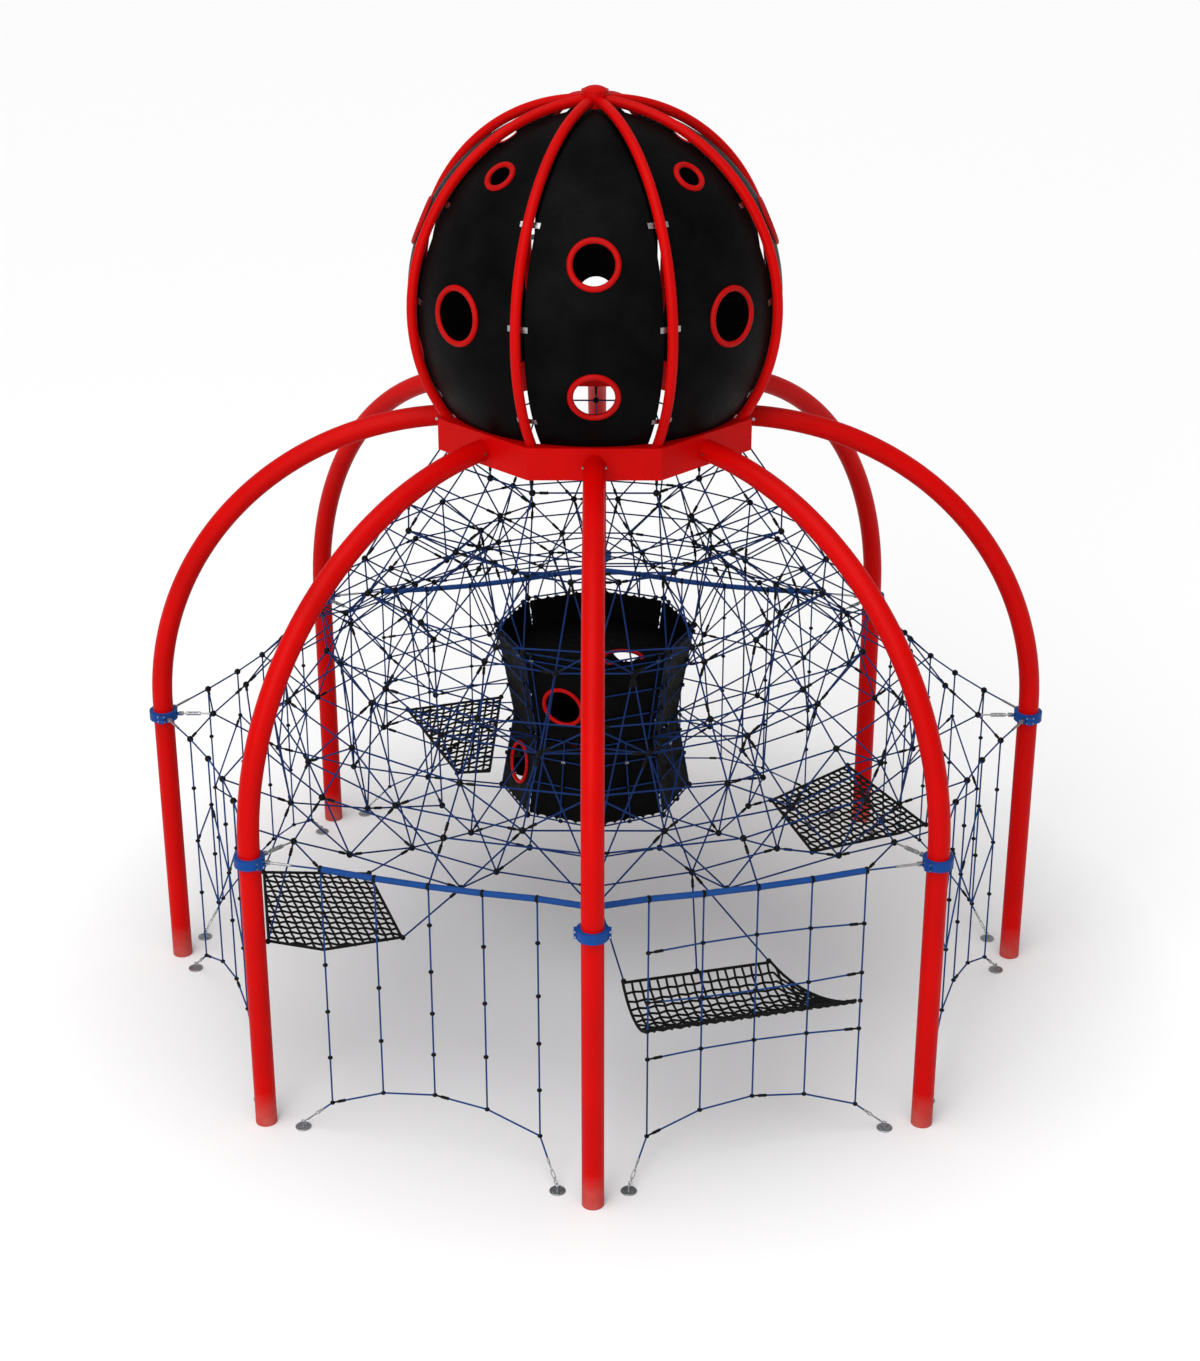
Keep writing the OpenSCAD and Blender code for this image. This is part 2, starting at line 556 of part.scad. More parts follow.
// Collars
module collar_bolt_holes() {
  for (m = [-1, 1], z = [-0.28, 0.28])
    translate([0, m * (collar_d / 2 + ear_w / 2), z * collar_h]) rotate([0, 90, 0])
      cylinder(d = ear_bolt_d + 2 * bolt_gap, h = 4 * ear_t, center = true);
}
module collar_half(side) {
  difference() {
    union() {
      cylinder(d = collar_d, h = collar_h, center = true);
      for (m = [-1, 1])
        translate([-ear_t, m == 1 ? collar_d / 2 - foot : -collar_d / 2 - ear_w, -collar_h / 2])
          cube([2 * ear_t, ear_w + foot, collar_h]);
    }
    cylinder(d = arch_tube_d + 2 * collar_gap, h = 2 * collar_h, center = true);
    translate([side * (collar_d - split_gap / 2), 0, 0])
      cube([2 * collar_d, 2 * collar_d, 2 * collar_h], center = true);
    collar_bolt_holes();
  }
}
function lug_turns(k) = is_pass(k) ? [0] : [-side_lug_a, 0, side_lug_a];
module lug() {
  root = collar_d / 2 - foot;
  difference() {
    union() {
      translate([-lug_x, 0, 0]) cylinder(r = lug_r, h = lug_t, center = true);
      translate([-lug_x, -lug_r, -lug_t / 2]) cube([lug_x - root, 2 * lug_r, lug_t]);
    }
    translate([-lug_x, 0, 0]) cylinder(d = lug_pin_d + 2 * bolt_gap, h = 2 * lug_t, center = true);
  }
}
module collar_inner_halves() {
  color("royalblue") for (k = [0:posts - 1]) at_post(k) translate([0, 0, collar_z]) {
    collar_half(1);
    for (a = lug_turns(k)) rotate([0, 0, -a]) lug();
  }
}
module collar_outer_halves() {
  color("royalblue") for (k = [0:posts - 1]) at_post(k) translate([0, 0, collar_z]) collar_half(-1);
}
module collar_bolts() {
  grip = ear_t + bolt_gap;
  color("silver") for (k = [0:posts - 1], m = [-1, 1], z = [-0.28, 0.28])
    at_post(k) translate([0, m * (collar_d / 2 + ear_w / 2), collar_z + z * collar_h]) rotate([0, 90, 0]) {
      cylinder(d = ear_bolt_d, h = 2 * grip + over, center = true);
      for (n = [0, 1]) mirror([0, 0, n]) translate([0, 0, grip]) cylinder(d = 24, h = 10, $fn = 6);
    }
}

// Fittings between the collars and the net
module fork(rod_l, d = rod_d) {
  cheek_z = lug_t / 2 + cheek_gap;
  difference() {
    union() {
      cylinder(r = lug_r, h = 2 * (cheek_z + cheek_t), center = true);
      translate([0, -lug_r, -cheek_z - cheek_t]) cube([fork_l, 2 * lug_r, 2 * (cheek_z + cheek_t)]);
      translate([fork_l - over, 0, 0]) rotate([0, 90, 0]) cylinder(d = d, h = rod_l + over);
    }
    translate([-2 * lug_r, -2 * lug_r, -cheek_z]) cube([2 * lug_r + fork_l - foot, 4 * lug_r, 2 * cheek_z]);
    cylinder(d = lug_pin_d + 2 * bolt_gap, h = 4 * lug_t, center = true);
  }
}
module fork_pin() {
  grip = lug_t / 2 + cheek_gap + cheek_t + bolt_gap;
  cylinder(d = lug_pin_d, h = 2 * grip + over, center = true);
  for (m = [0, 1]) mirror([0, 0, m]) translate([0, 0, grip]) cylinder(d = lug_pin_d + 10, h = 5);
}
outer_rod_l = sleeve_start + boss_l + 45;
sleeve_x = lug_x + fork_l + sleeve_start;
module turnbuckle(k) {
  color("silver") at_post(k) translate([-sleeve_x, 0, collar_z]) rotate([0, -90, 0]) difference() {
    union() {
      for (z = [0, body_l - boss_l]) translate([0, 0, z]) cylinder(d = boss_d, h = boss_l);
      for (m = [-1, 1]) translate([m * (boss_d / 2 - bar_t / 2) - bar_t / 2, -bar_w / 2, foot])
        cube([bar_t, bar_w, body_l - 2 * foot]);
    }
    translate([0, 0, -over]) cylinder(d = rod_d + 2 * rod_clear, h = body_l + 2 * over);
  }
}
module turnbuckle_rods() {
  inner_x = sleeve_x + body_l - boss_l - 45;
  color("silver") for (k = [0:posts - 1]) at_post(k) translate([0, 0, collar_z]) {
    translate([-lug_x, 0, 0]) rotate([0, 0, 180]) fork(outer_rod_l);
    translate([-inner_x, 0, 0]) rotate([0, -90, 0])
      cylinder(d = rod_d, h = inset(k) - corner_clear(k) - seat_gap - inner_x);
  }
}
module border_end_fittings() {
  color("silver") for (k = [0:posts - 1], side = [-1, 1]) if (!is_pass(k)) {
    b = side > 0 ? k : k + posts - 1;
    a = lug_eye(k, side * side_lug_a);
    p = border_at(b % posts, side > 0 ? tie_t(1) : tie_t(ties));
    translate(a) rotate([0, 0, atan2(p.y - a.y, p.x - a.x)])
      fork(border_fitting_l - fork_l, 30);
  }
}
module fork_pins() {
  color("silver") {
    for (k = [0:posts - 1], t = lug_turns(k)) translate(lug_eye(k, t)) fork_pin();
  }
}

// Net
module border_ropes() color("navy") ropes(border_runs);
module border_sleeves() color("royalblue") for (s = sleeve_runs) rope(s, sleeve_d);
module upper_net_ropes() color("navy") ropes(upper_runs);
module middle_net_ropes() color("navy") ropes(middle_runs);
module floor_net_ropes() color("navy") ropes(floor_runs);
module diagonal_ropes_upper() color("navy") ropes(upper_diagonals);
module diagonal_ropes_lower() color("navy") ropes(concat(lower_diagonals, mat_runs, hammock_runs));
module ball(p, d) translate(p) sphere(d = d, $fn = 24);
module net_connectors() {
  color("black") {
    for (p = net_nodes) ball(p, ball_d);
    for (k = [0:posts - 1]) ball(corner(k), 2 * corner_clear(k));
    for (b = [0:posts - 1], i = [1:ties]) ball(border_at(b, tie_t(i)), is_padded(b) ? clamp_d : ball_d);
    ball(star, star_d);
    for (m = mats, i = m[2]) ball(mat_corner(m, i), mat_ring_d);
    for (p = hammock_ties) ball(p, mat_ring_d);
  }
}
module rope_ferrules() {
  color("black") {
    ferrules(upper_runs);
    ferrules(middle_runs);
    ferrules(floor_runs);
    ferrules(upper_diagonals);
    ferrules(concat(lower_diagonals, mat_runs, hammock_runs));
    ferrules(curtain_runs);
  }
}
module curtain_ropes() color("navy") ropes(curtain_runs);
module curtain_connectors() {
  color("black") for (b = [0:posts - 1], i = [1:ties], n = [1:levels_of(b, i) + 1])
    ball(tie_points(b, i)[n], cross_d);
}
module ground_anchors() {
  color("silver") for (k = [0:posts - 1], side = [-1, 1]) {
    a = anchor(k, side);
    translate([a.x, a.y, 0]) cylinder(d = anchor_d, h = anchor_plate_t);
    translate([a.x, a.y, anchor_plate_t - over]) cylinder(d = 30, h = anchor_rod_h - anchor_plate_t + over);
    translate(a) sphere(d = 44, $fn = 32);
    along(a, anchor_top(k, side)) cylinder(d = 30, h = anchor_fitting_l - seat_gap);
  }
}

// Mats
module mesh_mats() {
  color("black") for (m = mats) difference() {
    translate([0, 0, m[0] - mat_t / 2]) linear_extrude(mat_t) polygon(m[1]);
    for (i = m[2]) translate(mat_corner(m, i)) sphere(d = mat_ring_d + 2 * seat_gap, $fn = 32);
  }
}
module hammock() {
  sag_r = (hammock_w * hammock_w / 4 + hammock_sag * hammock_sag) / (2 * hammock_sag);
  color("black") difference() {
    translate([hammock_p.x, hammock_p.y, hammock_z]) rotate([0, 0, hammock_a]) translate([0, rope_d, 0])
      intersection() {
        rotate([90, 0, 90]) linear_extrude(hammock_l) intersection() {
          translate([hammock_w / 2, sag_r - hammock_sag]) difference() {
            circle(r = sag_r + mat_t / 2, $fn = fine);
            circle(r = sag_r - mat_t / 2, $fn = fine);
          }
          translate([0, -2 * hammock_sag]) square([hammock_w, 2 * hammock_sag]);
        }
        translate([0, 0, -2 * hammock_sag]) linear_extrude(4 * hammock_sag)
          polygon([[0, 0], [hammock_l, 0], [hammock_l, hammock_tip_w],
                   [hammock_taper * hammock_l, hammock_w], [0, hammock_w]]);
      }
    for (i = [1:ties]) translate(tie_at(hammock_bay, i, tie_levels(hammock_bay, i)[1]))
      sphere(d = cross_d + 2 * seat_gap, $fn = 32);
    for (p = hammock_ties) translate(p) sphere(d = mat_ring_d + 2 * seat_gap, $fn = 32);
  }
}

// Tunnel membranes, each laced in its frame of ropes
frame_inset = rope_d / 2 + 2 * seat_gap;
module membrane(low_r, low_z, high_r, high_z, hole, shift) {
  low_a = low_r * cos(half_a);
  high_a = high_r * cos(half_a);
  tilt = atan2(high_a - low_a, high_z - low_z);
  h = norm([high_a - low_a, high_z - low_z]);
  low_w = low_r * sin(half_a);
  high_w = high_r * sin(half_a);
  side_a = atan2(high_w - low_w, h);
  slack = frame_inset / cos(side_a);
  translate([low_a, 0, low_z]) rotate([0, tilt, 0]) {
    if (hole != 2) rotate([90, 0, 90]) linear_extrude(membrane_t, center = true) difference() {
      polygon([[-low_w + slack + frame_inset * tan(side_a) * -1, frame_inset],
               [low_w - slack + frame_inset * tan(side_a), frame_inset],
               [high_w - slack - frame_inset * tan(side_a), h - frame_inset],
               [-high_w + slack + frame_inset * tan(side_a), h - frame_inset]]);
      for (m = [-1, 1]) {
        translate([m * low_w, 0]) circle(r = ball_r + 2 * seat_gap);
        translate([m * high_w, h]) circle(r = ball_r + 2 * seat_gap);
      }
      if (hole == 1) translate([0, h / 2 + shift]) circle(d = crawl_hole_d);
    }
    if (hole == 2) translate([membrane_t / 2 + seat_gap, 0, h / 2 + shift]) rotate([0, 90, 0]) membrane_rim();
  }
}
module membrane_rim() {
  rim_t = 50;
  rotate_extrude($fn = 96) translate([crawl_hole_d / 2 + rim_t / 2, 0]) intersection() {
    circle(d = rim_t);
    translate([-rim_t, 0]) square([2 * rim_t, rim_t]);
  }
}
crawl_shift = 90;
shelf_z = [4250, 2700];
function shelf_r(z) = z > tunnel_waist_z
  ? mix(tunnel_waist_r, tunnel_top_r, (z - tunnel_waist_z) / (tunnel_top_z - tunnel_waist_z))
  : mix(tunnel_low_r, tunnel_waist_r, (z - tunnel_low_z) / (tunnel_waist_z - tunnel_low_z));
function shelf_hole(n) = polar(430, n == 0 ? 320 : 140, 0);
shelf_slack = rope_d / 2 + 4 * seat_gap;
module tunnel_membranes() {
  color("black") {
    for (k = [0:posts - 1]) rotate([0, 0, step_a * k + half_a]) {
      membrane(tunnel_waist_r, tunnel_waist_z, tunnel_top_r, tunnel_top_z, k % 4 == 1 ? 1 : 0, -crawl_shift);
      membrane(tunnel_low_r, tunnel_low_z, tunnel_waist_r, tunnel_waist_z, k % 4 == 0 ? 1 : 0, 0);
    }
    for (n = [0, 1]) translate([0, 0, shelf_z[n]]) difference() {
      translate([0, 0, -membrane_t / 2])
        cylinder(r = shelf_r(shelf_z[n]) - shelf_slack, h = membrane_t, $fn = posts);
      translate(shelf_hole(n)) cylinder(d = crawl_hole_d, h = 4 * membrane_t, center = true);
    }
  }
}
module tunnel_rims() {
  color("red") {
    for (k = [0:posts - 1]) rotate([0, 0, step_a * k + half_a]) {
      if (k % 4 == 1) membrane(tunnel_waist_r, tunnel_waist_z, tunnel_top_r, tunnel_top_z, 2, -crawl_shift);
      if (k % 4 == 0) membrane(tunnel_low_r, tunnel_low_z, tunnel_waist_r, tunnel_waist_z, 2, 0);
    }
    for (n = [0, 1])
      translate([0, 0, shelf_z[n] + membrane_t / 2 + seat_gap]) translate(shelf_hole(n)) membrane_rim();
  }
}

arch(0);  // arch_1
arch(1);  // arch_2
arch(2);  // arch_3
arch(3);  // arch_4
arch(4);  // arch_5
arch(5);  // arch_6
arch(6);  // arch_7
arch(7);  // arch_8
ring_beam();
arch_end_bolts();
rib(0);  // rib_1
rib(1);  // rib_2
rib(2);  // rib_3
rib(3);  // rib_4
rib(4);  // rib_5
rib(5);  // rib_6
rib(6);  // rib_7
rib(7);  // rib_8
apex_hub();
apex_cap();
panel(0);  // panel_1
panel(1);  // panel_2
panel(2);  // panel_3
panel(3);  // panel_4
panel(4);  // panel_5
panel(5);  // panel_6
panel(6);  // panel_7
panel(7);  // panel_8
porthole_rims();
panel_clips();
collar_inner_halves();
collar_outer_halves();
collar_bolts();
turnbuckle(0);  // turnbuckle_1
turnbuckle(1);  // turnbuckle_2
turnbuckle(2);  // turnbuckle_3
turnbuckle(3);  // turnbuckle_4
turnbuckle(4);  // turnbuckle_5
turnbuckle(5);  // turnbuckle_6
turnbuckle(6);  // turnbuckle_7
turnbuckle(7);  // turnbuckle_8
turnbuckle_rods();
fork_pins();
border_ropes();
border_sleeves();
border_end_fittings();
upper_net_ropes();
middle_net_ropes();
floor_net_ropes();
diagonal_ropes_upper();
diagonal_ropes_lower();
net_connectors();
rope_ferrules();
curtain_ropes();
curtain_connectors();
ground_anchors();
mesh_mats();
hammock();
tunnel_membranes();
tunnel_rims();
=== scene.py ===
"""Dome climber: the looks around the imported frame."""

import math

import bpy
import numpy as np
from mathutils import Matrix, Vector


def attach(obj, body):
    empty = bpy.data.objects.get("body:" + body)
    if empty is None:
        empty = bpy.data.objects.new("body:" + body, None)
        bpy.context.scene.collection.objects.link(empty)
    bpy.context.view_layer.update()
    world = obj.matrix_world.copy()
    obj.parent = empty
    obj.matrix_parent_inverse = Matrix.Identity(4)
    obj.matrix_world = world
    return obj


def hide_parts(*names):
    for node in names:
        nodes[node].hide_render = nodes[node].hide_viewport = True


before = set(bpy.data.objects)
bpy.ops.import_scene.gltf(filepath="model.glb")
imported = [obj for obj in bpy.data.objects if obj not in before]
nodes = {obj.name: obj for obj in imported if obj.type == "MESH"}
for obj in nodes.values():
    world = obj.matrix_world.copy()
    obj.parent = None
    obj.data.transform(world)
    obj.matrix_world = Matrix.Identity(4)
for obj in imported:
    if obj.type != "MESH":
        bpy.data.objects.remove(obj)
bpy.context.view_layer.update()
MAIN = "frame_and_net"

# ---------------------------------------------------------------- camera
camera = bpy.data.objects.new("camera", bpy.data.cameras.new("camera"))
camera.data.lens = 65.16
camera.data.sensor_width = 36
camera.data.clip_end = 500
camera.location = (0.164, -27.354, 16.242)
camera.rotation_euler = (math.radians(65.62), 0, math.radians(0.2277))
bpy.context.scene.collection.objects.link(camera)
bpy.context.scene.camera = camera


# ---------------------------------------------------------------- materials
class Look:
    """One procedural material, built node by node."""

    def __init__(self, name, rough=0.5, metallic=0.0, specular=0.5):
        self.mat = bpy.data.materials.new(name)
        self.mat.use_nodes = True
        self.tree = self.mat.node_tree
        self.shader = self.tree.nodes["Principled BSDF"]
        self.put(self.shader, {"Roughness": rough, "Metallic": metallic, "Specular IOR Level": specular})
        self.coords = self.tree.nodes.new("ShaderNodeTexCoord")
        self.place = self.coords.outputs["Object"]

    def put(self, node, inputs):
        for key, value in inputs.items():
            if isinstance(value, bpy.types.NodeSocket):
                self.tree.links.new(value, node.inputs[key])
            else:
                node.inputs[key].default_value = value

    def node(self, kind, inputs=None, **settings):
        made = self.tree.nodes.new("ShaderNode" + kind)
        for key, value in settings.items():
            setattr(made, key, value)
        self.put(made, inputs or {})
        return made

    def noise(self, scale, detail=3.0, rough=0.55, vector=None):
        made = self.node("TexNoise", {"Vector": vector or self.place, "Scale": scale, "Detail": detail,
                                      "Roughness": rough})
        return made.outputs["Fac"]

    def math(self, operation, a, b=0.0, c=0.0):
        made = self.node("Math", operation=operation)
        for i, value in enumerate((a, b, c)):
            if isinstance(value, bpy.types.NodeSocket):
                self.tree.links.new(value, made.inputs[i])
            else:
                made.inputs[i].default_value = value
        return made.outputs[0]

    def span(self, value, low, high, to_low, to_high):
        made = self.node("MapRange", {"Value": value, "From Min": low, "From Max": high,
                                      "To Min": to_low, "To Max": to_high})
        return made.outputs[0]

    def mix(self, share, a, b):
        made = self.node("Mix", data_type="RGBA")
        for key, value in ((0, share), (6, a), (7, b)):
            if isinstance(value, bpy.types.NodeSocket):
                self.tree.links.new(value, made.inputs[key])
            else:
                made.inputs[key].default_value = value if key == 0 else (*value, 1)
        return made.outputs[2]

    def colour(self, value):
        self.tree.links.new(value, self.shader.inputs["Base Color"])

    def roughness(self, value):
        self.tree.links.new(value, self.shader.inputs["Roughness"])

    def bump(self, height, distance, strength=1.0):
        made = self.node("Bump", {"Height": height, "Distance": distance, "Strength": strength})
        if self.shader.inputs["Normal"].is_linked:
            self.put(made, {"Normal": self.shader.inputs["Normal"].links[0].from_socket})
        self.tree.links.new(made.outputs[0], self.shader.inputs["Normal"])


DUST = (0.30, 0.27, 0.23)


def painted(name, colour, deep, rough, specular):
    """Powder-coated steel: fine orange peel, slow shade changes, small scuffs, and dust low down."""
    look = Look(name, rough=rough, specular=specular)
    slow = look.noise(0.9, 4)
    base = look.mix(look.span(slow, 0.3, 0.7, 0, 1), colour, deep)
    scuffs = look.math("GREATER_THAN", look.noise(38, 6, 0.7), 0.735)
    base = look.mix(look.math("MULTIPLY", scuffs, 0.35), base, (0.11, 0.03, 0.025))
    height = look.node("SeparateXYZ", {"Vector": look.place}).outputs["Z"]
    low = look.math("MULTIPLY", look.span(height, 0.0, 0.45, 0.5, 0.0), look.noise(7, 5))
    look.colour(look.mix(low, base, DUST))
    look.roughness(look.span(look.noise(60, 3), 0.3, 0.7, rough - 0.05, rough + 0.09))
    look.bump(look.noise(420, 2), 0.0006, 0.5)
    look.bump(look.noise(14, 3), 0.0012, 0.35)
    return look.mat


def moulded(name, colour, rough, grain=900, depth=0.0004, specular=0.3):
    """Moulded or sheet plastic: fine grain, hairline scratches and a slight change of shade."""
    look = Look(name, rough=rough, specular=specular)
    light = tuple(min(1, c * 1.9 + 0.0015) for c in colour)
    shade = look.span(look.noise(2.6, 5), 0.35, 0.7, 0, 1)
    base = look.mix(shade, colour, light)
    stretched = look.node("Mapping", {"Vector": look.place, "Scale": (40, 40, 3)}).outputs[0]
    hair = look.math("GREATER_THAN", look.noise(9, 4, 0.7, stretched), 0.7)
    look.colour(look.mix(look.math("MULTIPLY", hair, 0.25), base, tuple(c + 0.008 for c in light)))
    look.roughness(look.span(look.noise(30, 4), 0.3, 0.7, rough - 0.06, rough + 0.1))
    look.bump(look.noise(grain, 2), depth, 0.5)
    return look.mat


def zinc(name, rough=0.42):
    """Hot-dip galvanised steel with its spangle."""
    look = Look(name, rough=rough, metallic=1.0)
    cells = look.node("TexVoronoi", {"Vector": look.place, "Scale": 130.0}).outputs["Color"]
    grey = look.node("SeparateColor", {"Color": cells}).outputs[0]
    look.colour(look.mix(grey, (0.22, 0.23, 0.24), (0.44, 0.45, 0.46)))
    look.roughness(look.span(look.noise(45, 4), 0.3, 0.7, rough - 0.1, rough + 0.12))
    look.bump(look.noise(350, 3), 0.0004, 0.5)
    return look.mat


def laid_rope(name, colour, light, strands=6.0, lay=0.13, rough=0.62):
    """Fibre-covered strands laid round a core, coloured with painted shade in the grooves between strands
    and a painted highlight on their crowns. The UV map gives the turn round and the length along.
    """
    look = Look(name, rough=rough, specular=0.12)
    split = look.node("SeparateXYZ", {"Vector": look.coords.outputs["UV"]})
    turn, along = split.outputs["X"], split.outputs["Y"]
    phase = look.math("ADD", look.math("MULTIPLY", turn, strands),
                      look.math("MULTIPLY", along, strands / lay))
    strand = look.math("ABSOLUTE", look.math("SINE", look.math("MULTIPLY", phase, math.pi)))
    yarn_phase = look.math("SUBTRACT", look.math("MULTIPLY", turn, strands * 6),
                           look.math("MULTIPLY", along, strands * 5 / lay))
    yarn = look.math("SINE", look.math("MULTIPLY", yarn_phase, math.pi * 2))
    round_strand = look.math("POWER", strand, 0.5)
    fuzz = look.noise(260, 4)
    # Painted shade and highlight: the colour runs from the dark colour in the grooves between strands to
    # the light one on their crowns; the fuzz and the worn patches are the fibres' own tone.
    shade = look.math("MULTIPLY", round_strand, look.span(fuzz, 0.3, 0.7, 0.45, 1.0))
    faded = tuple(c * 1.5 + 0.01 for c in light)
    worn = look.mix(look.span(look.noise(2.2, 4), 0.5, 0.8, 0.0, 0.35), light, faded)
    look.colour(look.mix(shade, colour, worn))
    look.roughness(look.span(fuzz, 0.3, 0.7, rough - 0.05, rough + 0.2))
    look.bump(round_strand, 0.0022, 0.9)
    look.bump(yarn, 0.0003, 0.6)
    return look.mat


def rubber(name):
    """Thick black rubber sheet with the print of its fabric and pale scuffs."""
    look = Look(name, rough=0.6, specular=0.04)
    threads = {"Vector": look.place, "Scale": 110.0, "Distortion": 0.4}
    warp = look.node("TexWave", threads, bands_direction="X")
    weft = look.node("TexWave", threads, bands_direction="Z")
    print_of = look.math("MULTIPLY", warp.outputs["Fac"], weft.outputs["Fac"])
    scuff = look.span(look.noise(3.5, 8, 0.65), 0.55, 0.75, 0.0, 0.5)
    look.colour(look.mix(scuff, (0.0012, 0.0012, 0.0015), (0.006, 0.006, 0.007)))
    look.roughness(look.span(look.noise(12, 5), 0.3, 0.7, 0.48, 0.72))
    look.bump(print_of, 0.0005, 0.6)
    look.bump(look.noise(8, 4), 0.004, 0.4)
    return look.mat


RED = painted("red_powder_coat", (0.52, 0.0006, 0.0003), (0.43, 0.0005, 0.0003), 0.42, 0.06)
BLUE = painted("blue_powder_coat", (0.004, 0.052, 0.24), (0.003, 0.038, 0.19), 0.42, 0.10)
RIM = painted("red_rim_plastic", (0.42, 0.001, 0.0008), (0.34, 0.0008, 0.0006), 0.46, 0.08)
PANEL = moulded("black_dome_sheet", (0.0008, 0.0008, 0.001), 0.44, specular=0.03)
BLACK = moulded("black_moulding", (0.001, 0.001, 0.0013), 0.5, 1500, specular=0.1)
ZINC = zinc("galvanised_steel")
BRIGHT = zinc("bright_steel", 0.28)
# For each rope the first colour is painted shade in the grooves between strands, the second the lighter
# colour of the strand crowns, a painted highlight.
ROPE = laid_rope("blue_net_rope", (0.001, 0.006, 0.03), (0.005, 0.032, 0.15))
CURTAIN = laid_rope("blue_curtain_rope", (0.002, 0.014, 0.06), (0.008, 0.055, 0.22))
MAT = laid_rope("black_mat_rope", (0.0006, 0.0006, 0.0006), (0.005, 0.005, 0.005), 4.0, 0.06)
SLEEVE = laid_rope("blue_sleeve_cover", (0.004, 0.03, 0.12), (0.009, 0.065, 0.27), 28.0, 0.30, 0.55)
RUBBER = rubber("black_rubber_sheet")


# ---------------------------------------------------------------- reading the frame
def parts(name):
    """The points of each loose part of a CAD node."""
    mesh = nodes[name].data
    co = np.empty(len(mesh.vertices) * 3, np.float32)
    mesh.vertices.foreach_get("co", co)
    co = co.reshape(-1, 3).astype(float)
    ends = np.empty(len(mesh.edges) * 2, np.int32)
    mesh.edges.foreach_get("vertices", ends)
    points, where = np.unique(np.round(co, 5), axis=0, return_inverse=True)
    a, b = where.ravel()[ends.reshape(-1, 2)].T
    label = np.arange(len(points))
    while True:
        low = np.minimum(label[a], label[b])
        new = label.copy()
        np.minimum.at(new, a, low)
        np.minimum.at(new, b, low)
        new = new[new]
        if (new == label).all():
            break
        label = new
    order = np.argsort(label, kind="stable")
    cuts = np.flatnonzero(np.diff(label[order])) + 1
    return [points[group] for group in np.split(order, cuts)]


def axis_of(points):
    """The two ends and the radius of a round bar."""
    middle = points.mean(0)
    away = points - middle
    line = np.linalg.svd(away, full_matrices=False)[2][0]
    t = away @ line
    radius = np.linalg.norm(away - np.outer(t, line), axis=1).max()
    return middle + line * t.min(), middle + line * t.max(), radius


# ---------------------------------------------------------------- making meshes
class Piece:
    """Collects rings of points into one mesh with a UV map."""

    def __init__(self, name):
        self.name, self.points, self.faces, self.uvs, self.count = name, [], [], [], 0

    def add(self, points, faces, uvs):
        self.points.append(np.asarray(points, float))
        self.faces += [[i + self.count for i in face] for face in faces]
        self.uvs += uvs
        self.count += len(points)

    def tube(self, path, radii, sides=10, closed=False, turn=0.0, flat=1.0):
        """A round bar, or a lathe shape, along a path. flat squeezes it across its second axis."""
        path = np.asarray(path, float)
        n = len(path)
        radii = np.broadcast_to(np.asarray(radii, float), (n,))
        if closed:
            ahead = np.roll(path, -1, 0) - np.roll(path, 1, 0)
        else:
            ahead = np.gradient(path, axis=0)
        ahead /= np.linalg.norm(ahead, axis=1)[:, None]
        side = np.cross(ahead[0], (0, 0, 1) if abs(ahead[0][2]) < 0.9 else (1, 0, 0))
        rings = []
        angles = turn + np.arange(sides) * 2 * math.pi / sides
        for k in range(n):
            side = side - ahead[k] * (side @ ahead[k])
            side /= np.linalg.norm(side)
            other = np.cross(ahead[k], side)
            rings.append(path[k] + radii[k] * (np.cos(angles)[:, None] * side
                                               + flat * np.sin(angles)[:, None] * other))
        length = np.concatenate([[0], np.cumsum(np.linalg.norm(np.diff(path, axis=0), axis=1))])
        faces, uvs = [], []
        for k in range(n if closed else n - 1):
            m = (k + 1) % n
            v0, v1 = length[k], length[k + 1] if k + 1 < n else length[k] + 0.01
            for j in range(sides):
                i = (j + 1) % sides
                faces.append([k * sides + j, k * sides + i, m * sides + i, m * sides + j])
                uvs += [(j / sides, v0), ((j + 1) / sides, v0), ((j + 1) / sides, v1), (j / sides, v1)]
        if not closed:
            faces += [list(range(sides))[::-1], [(n - 1) * sides + j for j in range(sides)]]
            uvs += [(0.5, 0.0)] * sides * 2
        self.add(np.concatenate(rings), faces, uvs)

    def bar(self, a, b, radius, sides=10, **more):
        self.tube([a, b], radius, sides, **more)

    def lathe(self, a, direction, profile, sides=16):
        """profile is pairs of distance along and radius."""
        direction = np.asarray(direction, float) / np.linalg.norm(direction)
        self.tube([a + direction * t for t, _ in profile], [r for _, r in profile], sides)

    def finish(self, material, body=MAIN, replaces=(), sharp=35):
        mesh = bpy.data.meshes.new(self.name)
        mesh.from_pydata(np.concatenate(self.points).tolist(), [], self.faces)
        layer = mesh.uv_layers.new(name="UVMap")
        layer.data.foreach_set("uv", np.asarray(self.uvs, np.float32).ravel())
        mesh.polygons.foreach_set("use_smooth", [True] * len(mesh.polygons))
        mesh.set_sharp_from_angle(angle=math.radians(sharp))
        mesh.materials.append(material)
        mesh.update()
        made = bpy.data.objects.new(self.name, mesh)
        bpy.context.scene.collection.objects.link(made)
        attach(made, body)
        if replaces:
            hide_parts(*replaces)
        return made


# ---------------------------------------------------------------- CAD nodes that stay
def paint(material, *names):
    for name in names:
        mesh = nodes[name].data
        mesh.materials.clear()
        mesh.materials.append(material)


paint(RED, *[f"arch_{k}" for k in range(1, 9)], *[f"rib_{k}" for k in range(1, 9)],
      "ring_beam", "apex_hub", "apex_cap")
paint(PANEL, *[f"panel_{k}" for k in range(1, 9)])
paint(BLUE, "collar_inner_halves", "collar_outer_halves")
paint(BRIGHT, "arch_end_bolts", "panel_clips", "collar_bolts", "fork_pins")
paint(ZINC, *[f"turnbuckle_{k}" for k in range(1, 9)], "turnbuckle_rods", "border_end_fittings")
paint(RIM, "porthole_rims", "tunnel_rims")

